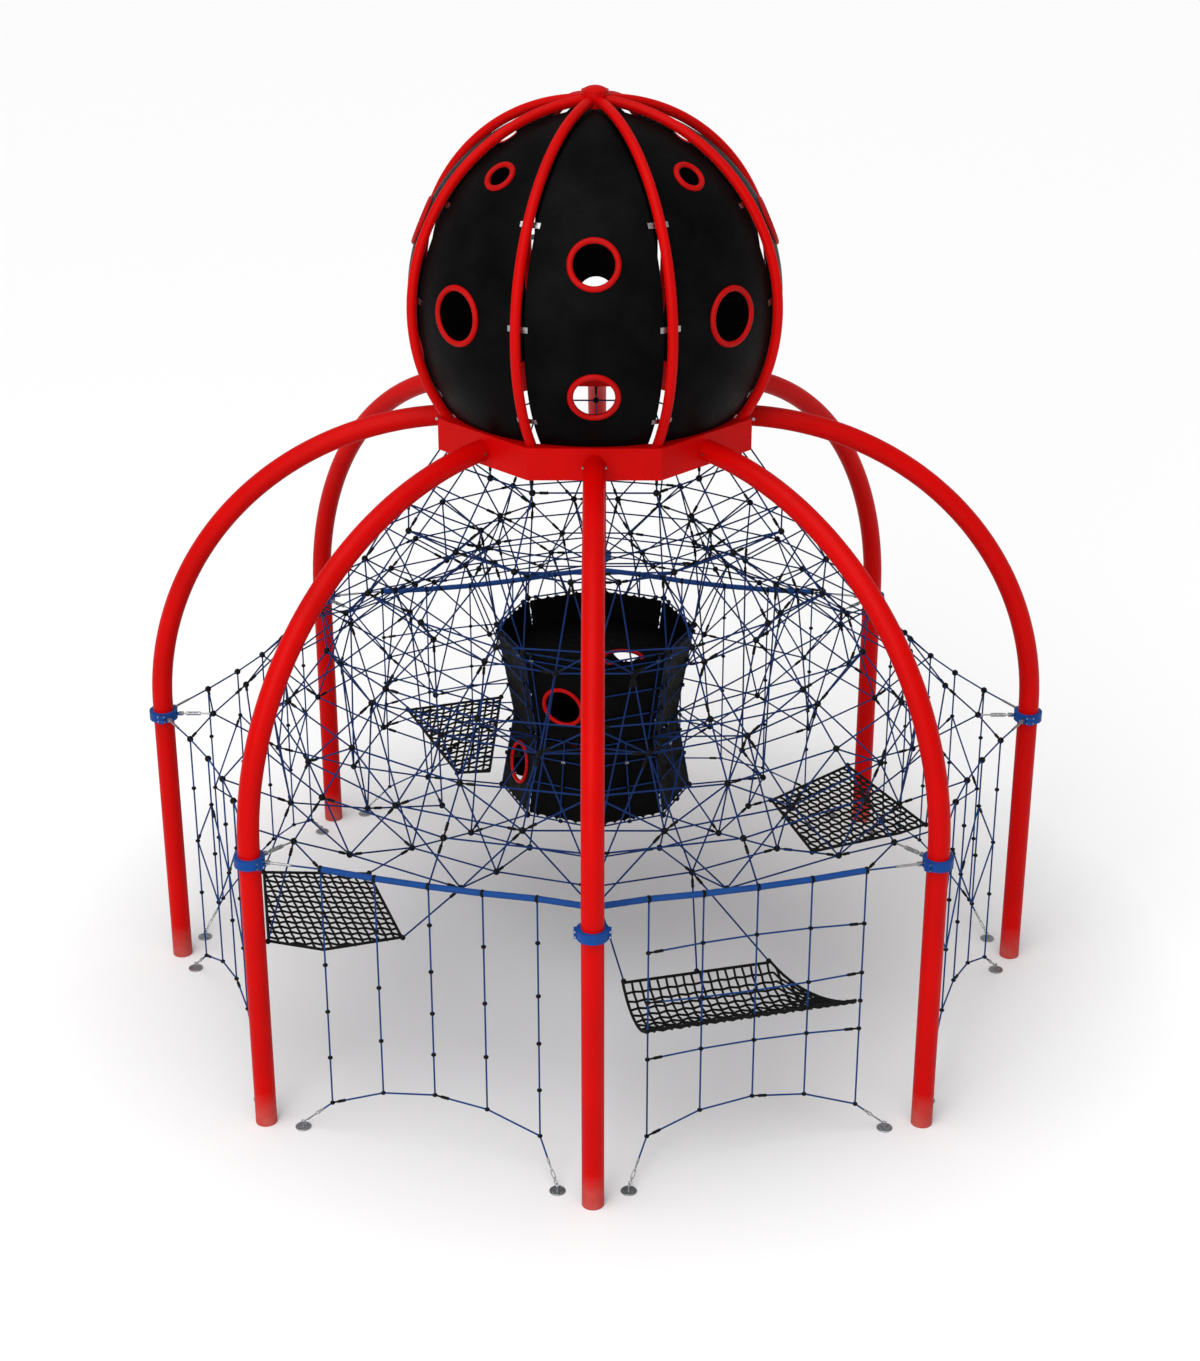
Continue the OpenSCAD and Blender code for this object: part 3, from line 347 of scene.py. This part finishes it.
# ---------------------------------------------------------------- ropes
SEAT = 0.012  # how far a rope or ferrule runs on into what holds it
ROPE_SWELL = 1.12  # the fibre stands proud of the CAD rope
ROPE_NODES = ("upper_net_ropes", "middle_net_ropes", "floor_net_ropes", "diagonal_ropes_upper",
              "diagonal_ropes_lower", "border_ropes")
for name in ROPE_NODES + ("curtain_ropes",):
    piece = Piece("laid_" + name)
    for points in parts(name):
        a, b, radius = axis_of(points)
        ahead = (b - a) / np.linalg.norm(b - a)
        piece.bar(a - ahead * SEAT, b + ahead * SEAT, radius * ROPE_SWELL, 12)
    material = CURTAIN if name in ("curtain_ropes", "border_ropes") else ROPE
    piece.finish(material, replaces=[name])

# The sleeves on the front and back border: soft covers that run on under the clamps
SLEEVE_SHAPE = [(0, 0.80), (0.006, 0.90), (0.016, 0.95), (0.034, 0.98), (0.06, 0.99)]
UNDER_CLAMP = 0.042
sleeve_ends = []
piece = Piece("border_covers")
for points in parts("border_sleeves"):
    a, b, radius = axis_of(points)
    ahead = (b - a) / np.linalg.norm(b - a)
    sleeve_ends += [(a, ahead), (b, ahead)]
    start = a - ahead * UNDER_CLAMP
    length = np.linalg.norm(b - a) + 2 * UNDER_CLAMP
    middle = [(t, 0.985 + 0.015 * math.sin(t * 41)) for t in np.arange(0.09, length - 0.08, 0.03)]
    shape = SLEEVE_SHAPE + middle + [(length - t, r) for t, r in SLEEVE_SHAPE[::-1]]
    piece.lathe(start, ahead, [(t, r * radius) for t, r in shape], 20)
covers = piece.finish(SLEEVE, replaces=["border_sleeves"])

# ---------------------------------------------------------------- connectors and ferrules
BALL_RINGS = 7
POLE = 0.22  # angle at which a ball's flat pole starts
UP = np.array((0, 0, 1.0))


def ball_profile(radius):
    """Half a ball with a flat pole, and a groove where the two halves meet."""
    half = [(radius * math.cos(t), radius * math.sin(t))
            for t in np.linspace(POLE, math.pi / 2 - 0.07, BALL_RINGS)]
    groove = [(radius * 0.035, radius * 0.965), (radius * 0.03, radius * 0.925)]
    top = half + groove
    return [(radius - t, r) for t, r in top] + [(radius + t, r) for t, r in top[::-1]]


def ball_with_screws(piece, centre, radius, squash, sides=18):
    """A ball connector, squashed along Z, with a screw head in each pole."""
    profile = [(t * squash, r) for t, r in ball_profile(radius)]
    piece.lathe(centre - UP * radius * squash, UP, profile, sides)
    head = radius * 0.30
    top = radius * squash * math.cos(POLE)
    for way in (UP, -UP):
        shape = [(0, head * 0.7), (0.003, head * 0.7), (0.0045, head * 0.55)]
        piece.lathe(centre + way * (top - 0.002), way, shape, 6)


def band(piece, centre, ahead, radius):
    """A slim clamp round a sleeve, with the boss its hanging rope leaves by."""
    half = [(0.018, 0.034), (0.016, 0.0385), (0.012, 0.041)]
    piece.lathe(centre, ahead, [(-t, r) for t, r in half] + half[::-1], 24)
    boss = [(0.030, 0.013), (0.040, 0.016), (radius, 0.016), (radius + 0.004, 0.012)]
    piece.lathe(centre, -UP, boss, 14)


SLEEVED = (0.042, 0.047)  # radii between which a connector near a sleeve is a clamp round it
CONNECTORS = (("net_connectors", "ball_clamps", 1.0), ("curtain_connectors", "curtain_clamps", 0.8))
for name, made, squash in CONNECTORS:
    piece = Piece(made)
    for points in parts(name):
        low, high = points.min(0), points.max(0)
        centre, radius = (low + high) / 2, (high - low).max() / 2
        reach = radius * 1.4
        near = [ahead for end, ahead in sleeve_ends if np.linalg.norm(end - centre) < reach]
        if near and SLEEVED[0] < radius < SLEEVED[1]:
            band(piece, centre, sum(near), radius)
        else:
            ball_with_screws(piece, centre, radius, squash)
    piece.finish(BLACK, replaces=[name])

piece = Piece("pressed_ferrules")
for points in parts("rope_ferrules"):
    a, b, radius = axis_of(points)
    ahead = (b - a) / np.linalg.norm(b - a)
    along = (points - a) @ ahead
    wide = np.linalg.norm(points - a - np.outer(along, ahead), axis=1) > radius * 0.9
    length = np.linalg.norm(b - a)
    if along[wide].mean() < length / 2:
        a, ahead = b, -ahead
    r, neck = radius, radius * 0.58
    shape = [(-SEAT, neck), (0.036, neck), (0.042, r * 0.80), (0.050, r * 0.97), (0.056, r)]
    for crimp in (0.072, 0.092, 0.112):
        shape += [(crimp - 0.005, r), (crimp - 0.002, r * 0.90)]
        shape += [(crimp + 0.002, r * 0.90), (crimp + 0.005, r)]
    shape += [(length - 0.010, r), (length - 0.004, r * 0.86), (length, r * 0.62)]
    piece.lathe(a, ahead, shape, 14)
piece.finish(BLACK, replaces=["rope_ferrules"])


# ---------------------------------------------------------------- rope meshes
MAT_CELLS = (0.095, 0.125)
HAMMOCK_CELL = 0.1
MAT_ROPE = 0.028
EDGE_ROPE = 0.035
MAT_SLABS = [  # height, corners in plan, anticlockwise, as in the CAD
    (2.230, [(-2.65, -1.93), (-3.90, -1.90), (-3.64, -3.51), (-3.00, -3.70), (-2.14, -3.42)]),
    (2.650, [(3.13, 0.10), (2.12, -0.85), (2.52, -2.17), (3.60, -1.70), (3.92, -1.48)]),
    (2.700, [(-1.25, 2.00), (-2.45, 1.60), (-1.70, -0.24), (-1.30, -0.20)]),
]
piece = Piece("rope_mats")
for height, corners in MAT_SLABS:
    c = np.array(corners)
    ways = np.stack([(q - c[0]) / np.linalg.norm(q - c[0]) for q in (c[1], c[-1])])
    flat = (c - c[0]) @ np.linalg.inv(ways)
    centre = flat.mean(0)
    shrunk = centre + (flat - centre) * 0.985

    def span_at(value, axis, outline=shrunk):
        """Where a straight line across the outline starts and ends."""
        hits = []
        for p, q in zip(outline, np.roll(outline, -1, 0)):
            if (p[axis] - value) * (q[axis] - value) < 0:
                share = (value - p[axis]) / (q[axis] - p[axis])
                hits.append(p[1 - axis] + (q[1 - axis] - p[1 - axis]) * share)
        return (min(hits), max(hits)) if len(hits) == 2 else (0, 0)

    def place(u, v, origin=c[0], along=ways, z=height):
        x, y = origin + np.array((u, v)) @ along
        return np.array((x, y, z)), np.array((0, 0, 1.0))

    for axis in (0, 1):
        cell, step = MAT_CELLS[axis], MAT_CELLS[1 - axis] / 2
        low, high = shrunk[:, axis].min(), shrunk[:, axis].max()
        for row in range(math.ceil(low / cell), math.ceil(high / cell)):
            line = row * cell
            lo, hi = span_at(line, axis)
            if hi - lo < cell:
                continue
            stops = [lo, *[k * step for k in range(math.floor(lo / step) + 1, math.ceil(hi / step))], hi]
            path = []
            for t in stops:
                point, normal = place(line, t) if axis == 0 else place(t, line)
                wave = math.cos(math.pi * (t / step / 2 + row + axis))
                path.append(point + normal * wave * MAT_ROPE * 0.45)
            piece.tube(path, MAT_ROPE / 2, 8)
    outline = [place(*p)[0] for p in shrunk]
    for p, q in zip(outline, outline[1:] + outline[:1]):
        piece.tube(np.linspace(p, q, 8), EDGE_ROPE / 2, 10)
piece.finish(MAT, replaces=["mesh_mats"])

# The hammock: the same arc and plan as its CAD slab
HAMMOCK_Z, HAMMOCK_W, HAMMOCK_SAG, HAMMOCK_TIP, HAMMOCK_TAPER = 1.750, 1.050, 0.210, 0.090, 0.72


def border_point(t):
    """The front border between the front post and the next, as in the CAD."""
    corner = np.array((0, -(5.300 - 0.530)))
    post, turn, reach = math.radians(315), math.radians(180 + 62), 0.200
    eye = np.array((5.3 * math.cos(post) + reach * math.cos(post + turn),
                    5.3 * math.sin(post) + reach * math.sin(post + turn)))
    p = corner + (eye - corner) * t
    r = np.linalg.norm(p)
    return p * (r - 0.030 * 4 * t * (1 - t)) / r


hp, hq = border_point(1 / 6), border_point(5 / 6)
hammock_l = np.linalg.norm(hq - hp)
h_along = (hq - hp) / hammock_l
h_in = np.array((-h_along[1], h_along[0]))
sag_r = (HAMMOCK_W ** 2 / 4 + HAMMOCK_SAG ** 2) / (2 * HAMMOCK_SAG)


def hammock_at(u, share):
    """share runs from the front edge, 0, to the rear edge, 1."""
    u = min(max(u, 0), hammock_l)
    taper = max(0.0, (u / hammock_l - HAMMOCK_TAPER) / (1 - HAMMOCK_TAPER))
    v = share * (HAMMOCK_W + (HAMMOCK_TIP - HAMMOCK_W) * taper)
    off = v - HAMMOCK_W / 2
    z = HAMMOCK_Z + sag_r - HAMMOCK_SAG - math.sqrt(sag_r ** 2 - off ** 2)
    x, y = hp + h_along * u + h_in * (0.018 + v)
    normal = np.array((*(-h_in * off / sag_r), 1.0))
    return np.array((x, y, z)), normal / np.linalg.norm(normal)


piece = Piece("rope_hammock")
rows = 10
for k in range(rows + 1):
    share = 0.012 + 0.976 * k / rows
    path = []
    for i, u in enumerate(np.arange(0.012, hammock_l - 0.01, HAMMOCK_CELL / 2)):
        point, normal = hammock_at(u, share)
        wave = 0 if k in (0, rows) else math.cos(math.pi * (i / 2 + k))
        path.append(point + normal * wave * MAT_ROPE * 0.45)
    piece.tube(path, (EDGE_ROPE if k in (0, rows) else MAT_ROPE) / 2, 8)
for i, u in enumerate(np.arange(0.012, hammock_l - 0.06, HAMMOCK_CELL)):
    path = []
    for k in range(2 * rows + 1):
        point, normal = hammock_at(u, 0.012 + 0.976 * k / rows / 2)
        wave = 0 if i == 0 else -math.cos(math.pi * (k / 2 + i))
        path.append(point + normal * wave * MAT_ROPE * 0.45)
    piece.tube(path, (EDGE_ROPE if i == 0 else MAT_ROPE) / 2, 8)
piece.finish(MAT, replaces=["hammock"])

# ---------------------------------------------------------------- tunnel
RIMS = {"low": (1.160, 2.430), "waist": (0.990, 3.420), "top": (1.190, 4.585)}
SHEET_T = 0.008
HOLE_R = 0.430 / 2
TOOTH = 0.105  # from one eyelet of a sheet's edge to the next
EDGE_GAP = 0.012  # a tooth's tip from the rope beside it
SCALLOP = (0.0, 0.022, 0.026, 0.022)  # how deep the edge is cut along one tooth
SIDE_SCALLOP = 0.4  # share of it at the upright edges
EYELET = 0.058  # an eyelet from the rope it is laced to
FACE = math.pi / 4
HALF_FACE = FACE / 2


def membrane(piece, lacing, k, low, high, hole=None):
    """A rubber sheet between two rims, with toothed edges laced to the ropes round it."""
    turn = HALF_FACE + k * FACE
    (r0, z0), (r1, z1) = RIMS[low], RIMS[high]
    bottom = np.array((r0 * math.cos(HALF_FACE), 0, z0))
    top = np.array((r1 * math.cos(HALF_FACE), 0, z1))
    up = top - bottom
    tall = np.linalg.norm(up)
    up /= tall
    out = np.array((up[2], 0, -up[0]))
    across = np.array((0, 1.0, 0))
    spin = np.array(((math.cos(turn), -math.sin(turn), 0),
                     (math.sin(turn), math.cos(turn), 0),
                     (0, 0, 1)))
    nv = int(tall / (TOOTH / 4))
    nv -= nv % 4
    nu = int(2 * min(r0, r1) * math.sin(HALF_FACE) / (TOOTH / 4))
    nu -= nu % 4
    grid = np.zeros((nv + 1, nu + 1, 3))
    keep = np.ones((nv, nu), bool)
    centre = (0, tall / 2 + (hole or 0))
    for i in range(nv + 1):
        for j in range(nu + 1):
            s, t = j / nu, i / nv
            wide = (r0 + (r1 - r0) * t) * math.sin(HALF_FACE)
            x = (2 * s - 1) * (wide - EDGE_GAP)
            y = EDGE_GAP + t * (tall - 2 * EDGE_GAP)
            if j in (0, nu):
                x -= math.copysign(SCALLOP[i % 4] * SIDE_SCALLOP, x)
            if i in (0, nv):
                y += (1 if i == 0 else -1) * SCALLOP[j % 4]
            if hole is not None:
                away = math.hypot(x - centre[0], y - centre[1])
                if away < HOLE_R + 0.013:
                    scale = HOLE_R / max(away, 1e-6)
                    x, y = centre[0] + (x - centre[0]) * scale, centre[1] + (y - centre[1]) * scale
            belly = 0.0
            if hole is None:
                belly = -0.012 * math.sin(math.pi * s) * math.sin(math.pi * t)
            grid[i, j] = bottom + up * y + across * x + out * belly
    if hole is not None:
        for i in range(nv):
            for j in range(nu):
                s, t = (j + 0.5) / nu, (i + 0.5) / nv
                wide = (r0 + (r1 - r0) * t) * math.sin(HALF_FACE)
                x, y = (2 * s - 1) * (wide - EDGE_GAP), EDGE_GAP + t * (tall - 2 * EDGE_GAP)
                keep[i, j] = math.hypot(x - centre[0], y - centre[1]) > HOLE_R
    for cut_corner in ((0, 0), (0, nu - 1), (nv - 1, 0), (nv - 1, nu - 1)):
        keep[cut_corner] = False
    used = np.zeros((nv + 1, nu + 1), bool)
    for i, j in zip(*np.nonzero(keep)):
        used[i:i + 2, j:j + 2] = True
    index = -np.ones((nv + 1, nu + 1), int)
    index[used] = np.arange(used.sum())
    front = (grid[used] + out * SHEET_T / 2) @ spin.T
    back = (grid[used] - out * SHEET_T / 2) @ spin.T
    n = len(front)
    faces = []
    for i, j in zip(*np.nonzero(keep)):
        ring = [index[i, j], index[i, j + 1], index[i + 1, j + 1], index[i + 1, j]]
        faces += [ring, [n + x for x in ring[::-1]]]
        sides = (((i - 1, j), 0, 1), ((i, j + 1), 1, 2), ((i + 1, j), 2, 3), ((i, j - 1), 3, 0))
        for (a, b), p, q in sides:
            if not (0 <= a < nv and 0 <= b < nu and keep[a, b]):
                faces.append([ring[p], n + ring[p], n + ring[q], ring[q]])
    uvs = [(0.0, 0.0)] * sum(len(f) for f in faces)
    piece.add(np.concatenate([front, back]), faces, uvs)
    # One loop of lacing at each tooth, round the rope beside it
    for i in range(0, nv + 1, 4):
        t = i / nv
        wide = (r0 + (r1 - r0) * t) * math.sin(HALF_FACE)
        level = bottom + up * (EDGE_GAP + t * (tall - 2 * EDGE_GAP))
        for m in (-1, 1):
            if 0 < i < nv:
                eye = level + across * m * (wide - EYELET)
                rope = level + across * m * wide
                loop(lacing, eye @ spin.T, rope @ spin.T, up @ spin.T)
    for j in range(4, nu - 1, 4):
        s = j / nu
        for y, r, way in ((0, r0, 1), (tall, r1, -1)):
            x = (2 * s - 1) * r * math.sin(HALF_FACE)
            rope = bottom + up * y + across * x
            eye = rope + up * way * EYELET
            loop(lacing, eye @ spin.T, rope @ spin.T, across @ spin.T)


def loop(piece, eye, rope, along):
    """A turn of cord through an eyelet and round a rope."""
    middle = (eye + rope) / 2
    reach = (rope - eye) / 2
    length = np.linalg.norm(reach)
    lift = np.cross(reach / length, along)
    long_way, lift_way, lean = reach * 1.28, lift * 0.0155, along * 0.009
    around = [middle + long_way * math.cos(t) + lift_way * math.sin(t) + lean * math.cos(t)
              for t in np.linspace(0, 2 * math.pi, 12, endpoint=False)]
    piece.tube(around, 0.0036, 5, closed=True)


sheets = Piece("tunnel_sheets")
lacing = Piece("tunnel_lacing")
for k in range(8):
    membrane(sheets, lacing, k, "waist", "top", -0.09 if k % 4 == 1 else None)
    membrane(sheets, lacing, k, "low", "waist", 0.0 if k % 4 == 0 else None)


def tunnel_radius(z):
    """From the tunnel's middle to its corners at a height."""
    low, high = ("waist", "top") if z > RIMS["waist"][1] else ("low", "waist")
    (r0, z0), (r1, z1) = RIMS[low], RIMS[high]
    return r0 + (r1 - r0) * (z - z0) / (z1 - z0)


def round_at(angle):
    return np.array((math.cos(angle), math.sin(angle)))


# Two shelves inside the tunnel, each an eight-sided sheet with a hole to climb through
SHELF_POINTS = 128
SHELF_EDGE = (0.05, 0.03, 0.05, 0.09)  # the cuts of the shelf's edge, point by point
for z, azimuth in ((4.250, 320), (2.700, 140)):
    ring_r = tunnel_radius(z)
    hole_c = 0.43 * round_at(math.radians(azimuth))
    count = SHELF_POINTS
    outer, inner = [], []
    for n in range(count):
        a = 2 * math.pi * n / count
        edge = ring_r * math.cos(HALF_FACE) / math.cos((a % FACE) - HALF_FACE)
        at_corner = n % (count // 8) == 0
        edge -= EDGE_GAP if at_corner else SHELF_EDGE[n % 4]
        outer.append(edge * round_at(a))
        inner.append(hole_c + HOLE_R * round_at(a))
    inner, outer = np.array(inner), np.array(outer)
    rings = [inner + (outer - inner) * t for t in (0, 0.08, 0.3, 0.6, 0.85, 1)]
    points, faces = [], []
    for side in (SHEET_T / 2, -SHEET_T / 2):
        for ring in rings:
            points += [(*p, z + side) for p in ring]
    layers = len(rings)
    for m in range(layers - 1):
        for n in range(count):
            o = (n + 1) % count
            quad = [m * count + n, (m + 1) * count + n, (m + 1) * count + o, m * count + o]
            faces += [quad, [layers * count + x for x in quad[::-1]]]
    for n in range(count):
        o = (n + 1) % count
        last = (layers - 1) * count
        under = layers * count
        faces.append([n, o, under + o, under + n])
        faces.append([last + n, under + last + n, under + last + o, last + o])
    sheets.add(points, faces, [(0.0, 0.0)] * (4 * len(faces)))
sheets.finish(RUBBER, replaces=["tunnel_membranes"])
lacing.finish(MAT)

# The climbing ropes round the outside of the tunnel, clamped where they cross
CLIMB_ROPE_R = 0.009
OUTSIDE = 0.0205  # from one layer of ropes to the next
HOLE_ROOM = 0.265
# Each storey's rims, ring heights, upright rope, the face that has a hole, and the hole's height
STOREYS = (
    ((2.44, 3.41), (2.87, 3.18), 0.0, 0, 2.925),
    ((3.43, 4.575), (3.79, 4.12, 4.50), 0.30, 1, 3.912),
)
SILVER_HEIGHTS = (3.18, 4.50)


def outside(turn, z, off):
    """A point on the eight-sided outside of the tunnel, off it by a gap."""
    apothem = (tunnel_radius(z) + off) * math.cos(HALF_FACE)
    r = apothem / math.cos(turn % FACE - HALF_FACE)
    return np.array((r * math.cos(turn), r * math.sin(turn), z))


climb = Piece("tunnel_climbing_ropes")
silver = Piece("tunnel_cross_clamps")
black = Piece("tunnel_rope_ties")
CLAMP_SHAPE = [(-0.026, 0.014), (-0.024, 0.021), (0.024, 0.021), (0.026, 0.014)]
TIE_SHAPE = [(-0.022, 0.015), (-0.018, 0.024), (0.018, 0.024), (0.022, 0.015)]
for k in range(8):
    left, middle, right = (k + 1e-6) * FACE, (k + 0.5) * FACE, (k + 1 - 1e-6) * FACE
    across = np.array((-math.sin(middle), math.cos(middle), 0))
    for (low_z, high_z), heights, side, holed, hole_z in STOREYS:
        has_hole = k % 4 == holed
        rings = [z for z in heights if not (has_hole and abs(z - hole_z) < HOLE_ROOM)]
        for z in rings:
            climb.bar(outside(left, z, OUTSIDE), outside(right, z, OUTSIDE), CLIMB_ROPE_R, 10)
            for end in (left, right):
                black.lathe(outside(end, z, OUTSIDE / 2), UP, TIE_SHAPE, 10)
        if has_hole and side == 0:
            continue
        turn = middle + (side if k % 2 == 0 else -side)
        foot, head = outside(turn, low_z, 2 * OUTSIDE), outside(turn, high_z, 2 * OUTSIDE)
        climb.bar(foot, head, CLIMB_ROPE_R, 10)
        for z in (low_z, high_z):
            black.lathe(outside(turn, z, OUTSIDE), across, TIE_SHAPE, 10)
        for z in rings:
            made = silver if z in SILVER_HEIGHTS else black
            made.lathe(outside(turn, z, 1.5 * OUTSIDE), across, CLAMP_SHAPE, 8)
climb.finish(ROPE)
silver.finish(BRIGHT)
black.finish(BLACK)


# ---------------------------------------------------------------- rigging at the ground
def eye_ring(piece, centre, ahead, side, radius=0.020, wire=0.006):
    around = [centre + ahead * radius * math.cos(t) + side * radius * math.sin(t)
              for t in np.linspace(0, 2 * math.pi, 18, endpoint=False)]
    piece.tube(around, wire, 8, closed=True)


def open_turnbuckle(piece, a, b):
    """Bow shackle, screwed eyes in an open body, and a thimble, from a ground plate's eye to a rope."""
    ahead = (b - a) / np.linalg.norm(b - a)
    side = np.cross(ahead, (0, 0, 1))
    side /= np.linalg.norm(side)
    up = np.cross(side, ahead)
    at = lambda t: a + ahead * t
    eye_ring(piece, at(0.012), ahead, up, 0.026, 0.007)
    eye_ring(piece, at(0.052), ahead, side, 0.020, 0.006)
    piece.bar(at(0.068), at(0.115), 0.0065, 12)
    piece.bar(at(0.185), at(0.232), 0.0065, 12)
    for m in (-1, 1):
        body = ((0.096, 0.007), (0.104, 0.015), (0.150, 0.017), (0.196, 0.015), (0.204, 0.007))
        piece.tube([at(t) + side * m * off for t, off in body], 0.0055, 8)
    for t in (0.088, 0.196):
        piece.lathe(at(t), ahead, [(0, 0.009), (0.002, 0.012), (0.014, 0.012), (0.016, 0.009)], 12)
    eye_ring(piece, at(0.248), ahead, up, 0.018, 0.006)
    thimble = ((0.262, 0.001), (0.276, 0.017), (0.292, 0.010), (0.304, 0), (0.292, -0.010), (0.276, -0.017))
    piece.tube([at(t) + up * off for t, off in thimble], 0.005, 8, closed=True)
    piece.lathe(at(0.292), ahead, [(0, 0.010), (0.004, 0.0145), (0.05, 0.0145), (0.056, 0.010)], 14)


ANCHOR_EYE_Z = 0.060
PLATE_SHAPE = [(0, 0.086), (0.003, 0.0895), (0.011, 0.0895), (0.014, 0.086), (0.0142, 0.02)]
STEM_SHAPE = [(0, 0.020), (0.004, 0.013), (0.034, 0.011), (0.040, 0.010)]
NUT_SHAPE = [(0, 0.013), (0.002, 0.013), (0.0022, 0.0095), (0.009, 0.0095), (0.011, 0.008)]
piece = Piece("ground_rigging")
for points in parts("ground_anchors"):
    plate = points[points[:, 2] < 0.002]
    base = (plate.min(0) + plate.max(0)) / 2
    a = np.array((base[0], base[1], ANCHOR_EYE_Z))
    away = np.linalg.norm(points - a, axis=1)
    b = points[(away > away.max() - 0.012)].mean(0)
    open_turnbuckle(piece, a, b)
    piece.lathe(base, UP, PLATE_SHAPE, 40)
    piece.lathe(base + UP * 0.012, UP, STEM_SHAPE, 16)
    for n in range(4):
        spot = base + np.array((*round_at((n + 0.5) * math.pi / 2), 0)) * 0.062 + UP * 0.013
        piece.lathe(spot, UP, NUT_SHAPE, 6)
piece.finish(ZINC, replaces=["ground_anchors"])

# ---------------------------------------------------------------- top ends of the hangers
HANGER_TOP_Z = 6.9
FLANGE_SHAPE = [(0, 0.036), (0.002, 0.039), (0.007, 0.039)]
SOCKET_SHAPE = [(0, 0.012), (0.006, 0.017), (0.080, 0.017), (0.098, 0.024)]
piece = Piece("hanger_eyes")
for points in parts("upper_net_ropes"):
    a, b, radius = axis_of(points)
    top = a if a[2] > b[2] else b
    if abs(a[0] - b[0]) + abs(a[1] - b[1]) < 0.003 and top[2] > HANGER_TOP_Z:
        piece.lathe(top - UP * 0.008, UP, FLANGE_SHAPE, 24)
        piece.lathe(top - UP * 0.105, UP, SOCKET_SHAPE, 16)
if piece.count:
    piece.finish(BLACK)

# ---------------------------------------------------------------- floor and light
floor_mesh = bpy.data.meshes.new("floor")
SPREAD = 250
corners = [(-SPREAD, -SPREAD, 0), (SPREAD, -SPREAD, 0), (SPREAD, SPREAD, 0), (-SPREAD, SPREAD, 0)]
floor_mesh.from_pydata(corners, [], [(0, 1, 2, 3)])
floor = bpy.data.objects.new("floor", floor_mesh)
bpy.context.scene.collection.objects.link(floor)
floor_look = Look("studio_floor_painted_shadow", rough=0.9, specular=0.1)
away = floor_look.node("VectorMath", {0: floor_look.place}, operation="LENGTH").outputs["Value"]
# Painted shadow: the floor is grey within a few metres of the centre, under the climber, and fades to an
# even pale further out.
shade = floor_look.span(away, 2.5, 7.5, 0, 1)
floor_look.colour(floor_look.mix(shade, (0.56, 0.56, 0.57), (0.88, 0.88, 0.88)))
floor_mesh.materials.append(floor_look.mat)
floor.location.z = -0.002

world = bpy.data.worlds.new("studio")
world.use_nodes = True
world.node_tree.nodes["Background"].inputs["Color"].default_value = (1, 1, 1, 1)
world.node_tree.nodes["Background"].inputs["Strength"].default_value = 0.52
bpy.context.scene.world = world
bpy.context.scene.view_settings.view_transform = "Standard"


def lamp(name, kind, place, aim, power, **settings):
    light = bpy.data.lights.new(name, kind)
    light.energy = power
    for key, value in settings.items():
        setattr(light, key, value)
    made = bpy.data.objects.new(name, light)
    made.location = place
    made.rotation_euler = (Vector(aim) - Vector(place)).to_track_quat("-Z", "Y").to_euler()
    bpy.context.scene.collection.objects.link(made)


CENTRE = (0, 0, 4)
lamp("overhead", "SUN", (-6, -12, 30), CENTRE, 2.1, angle=math.radians(60))
lamp("front", "AREA", (-9, -26, 15), CENTRE, 2600, size=14)
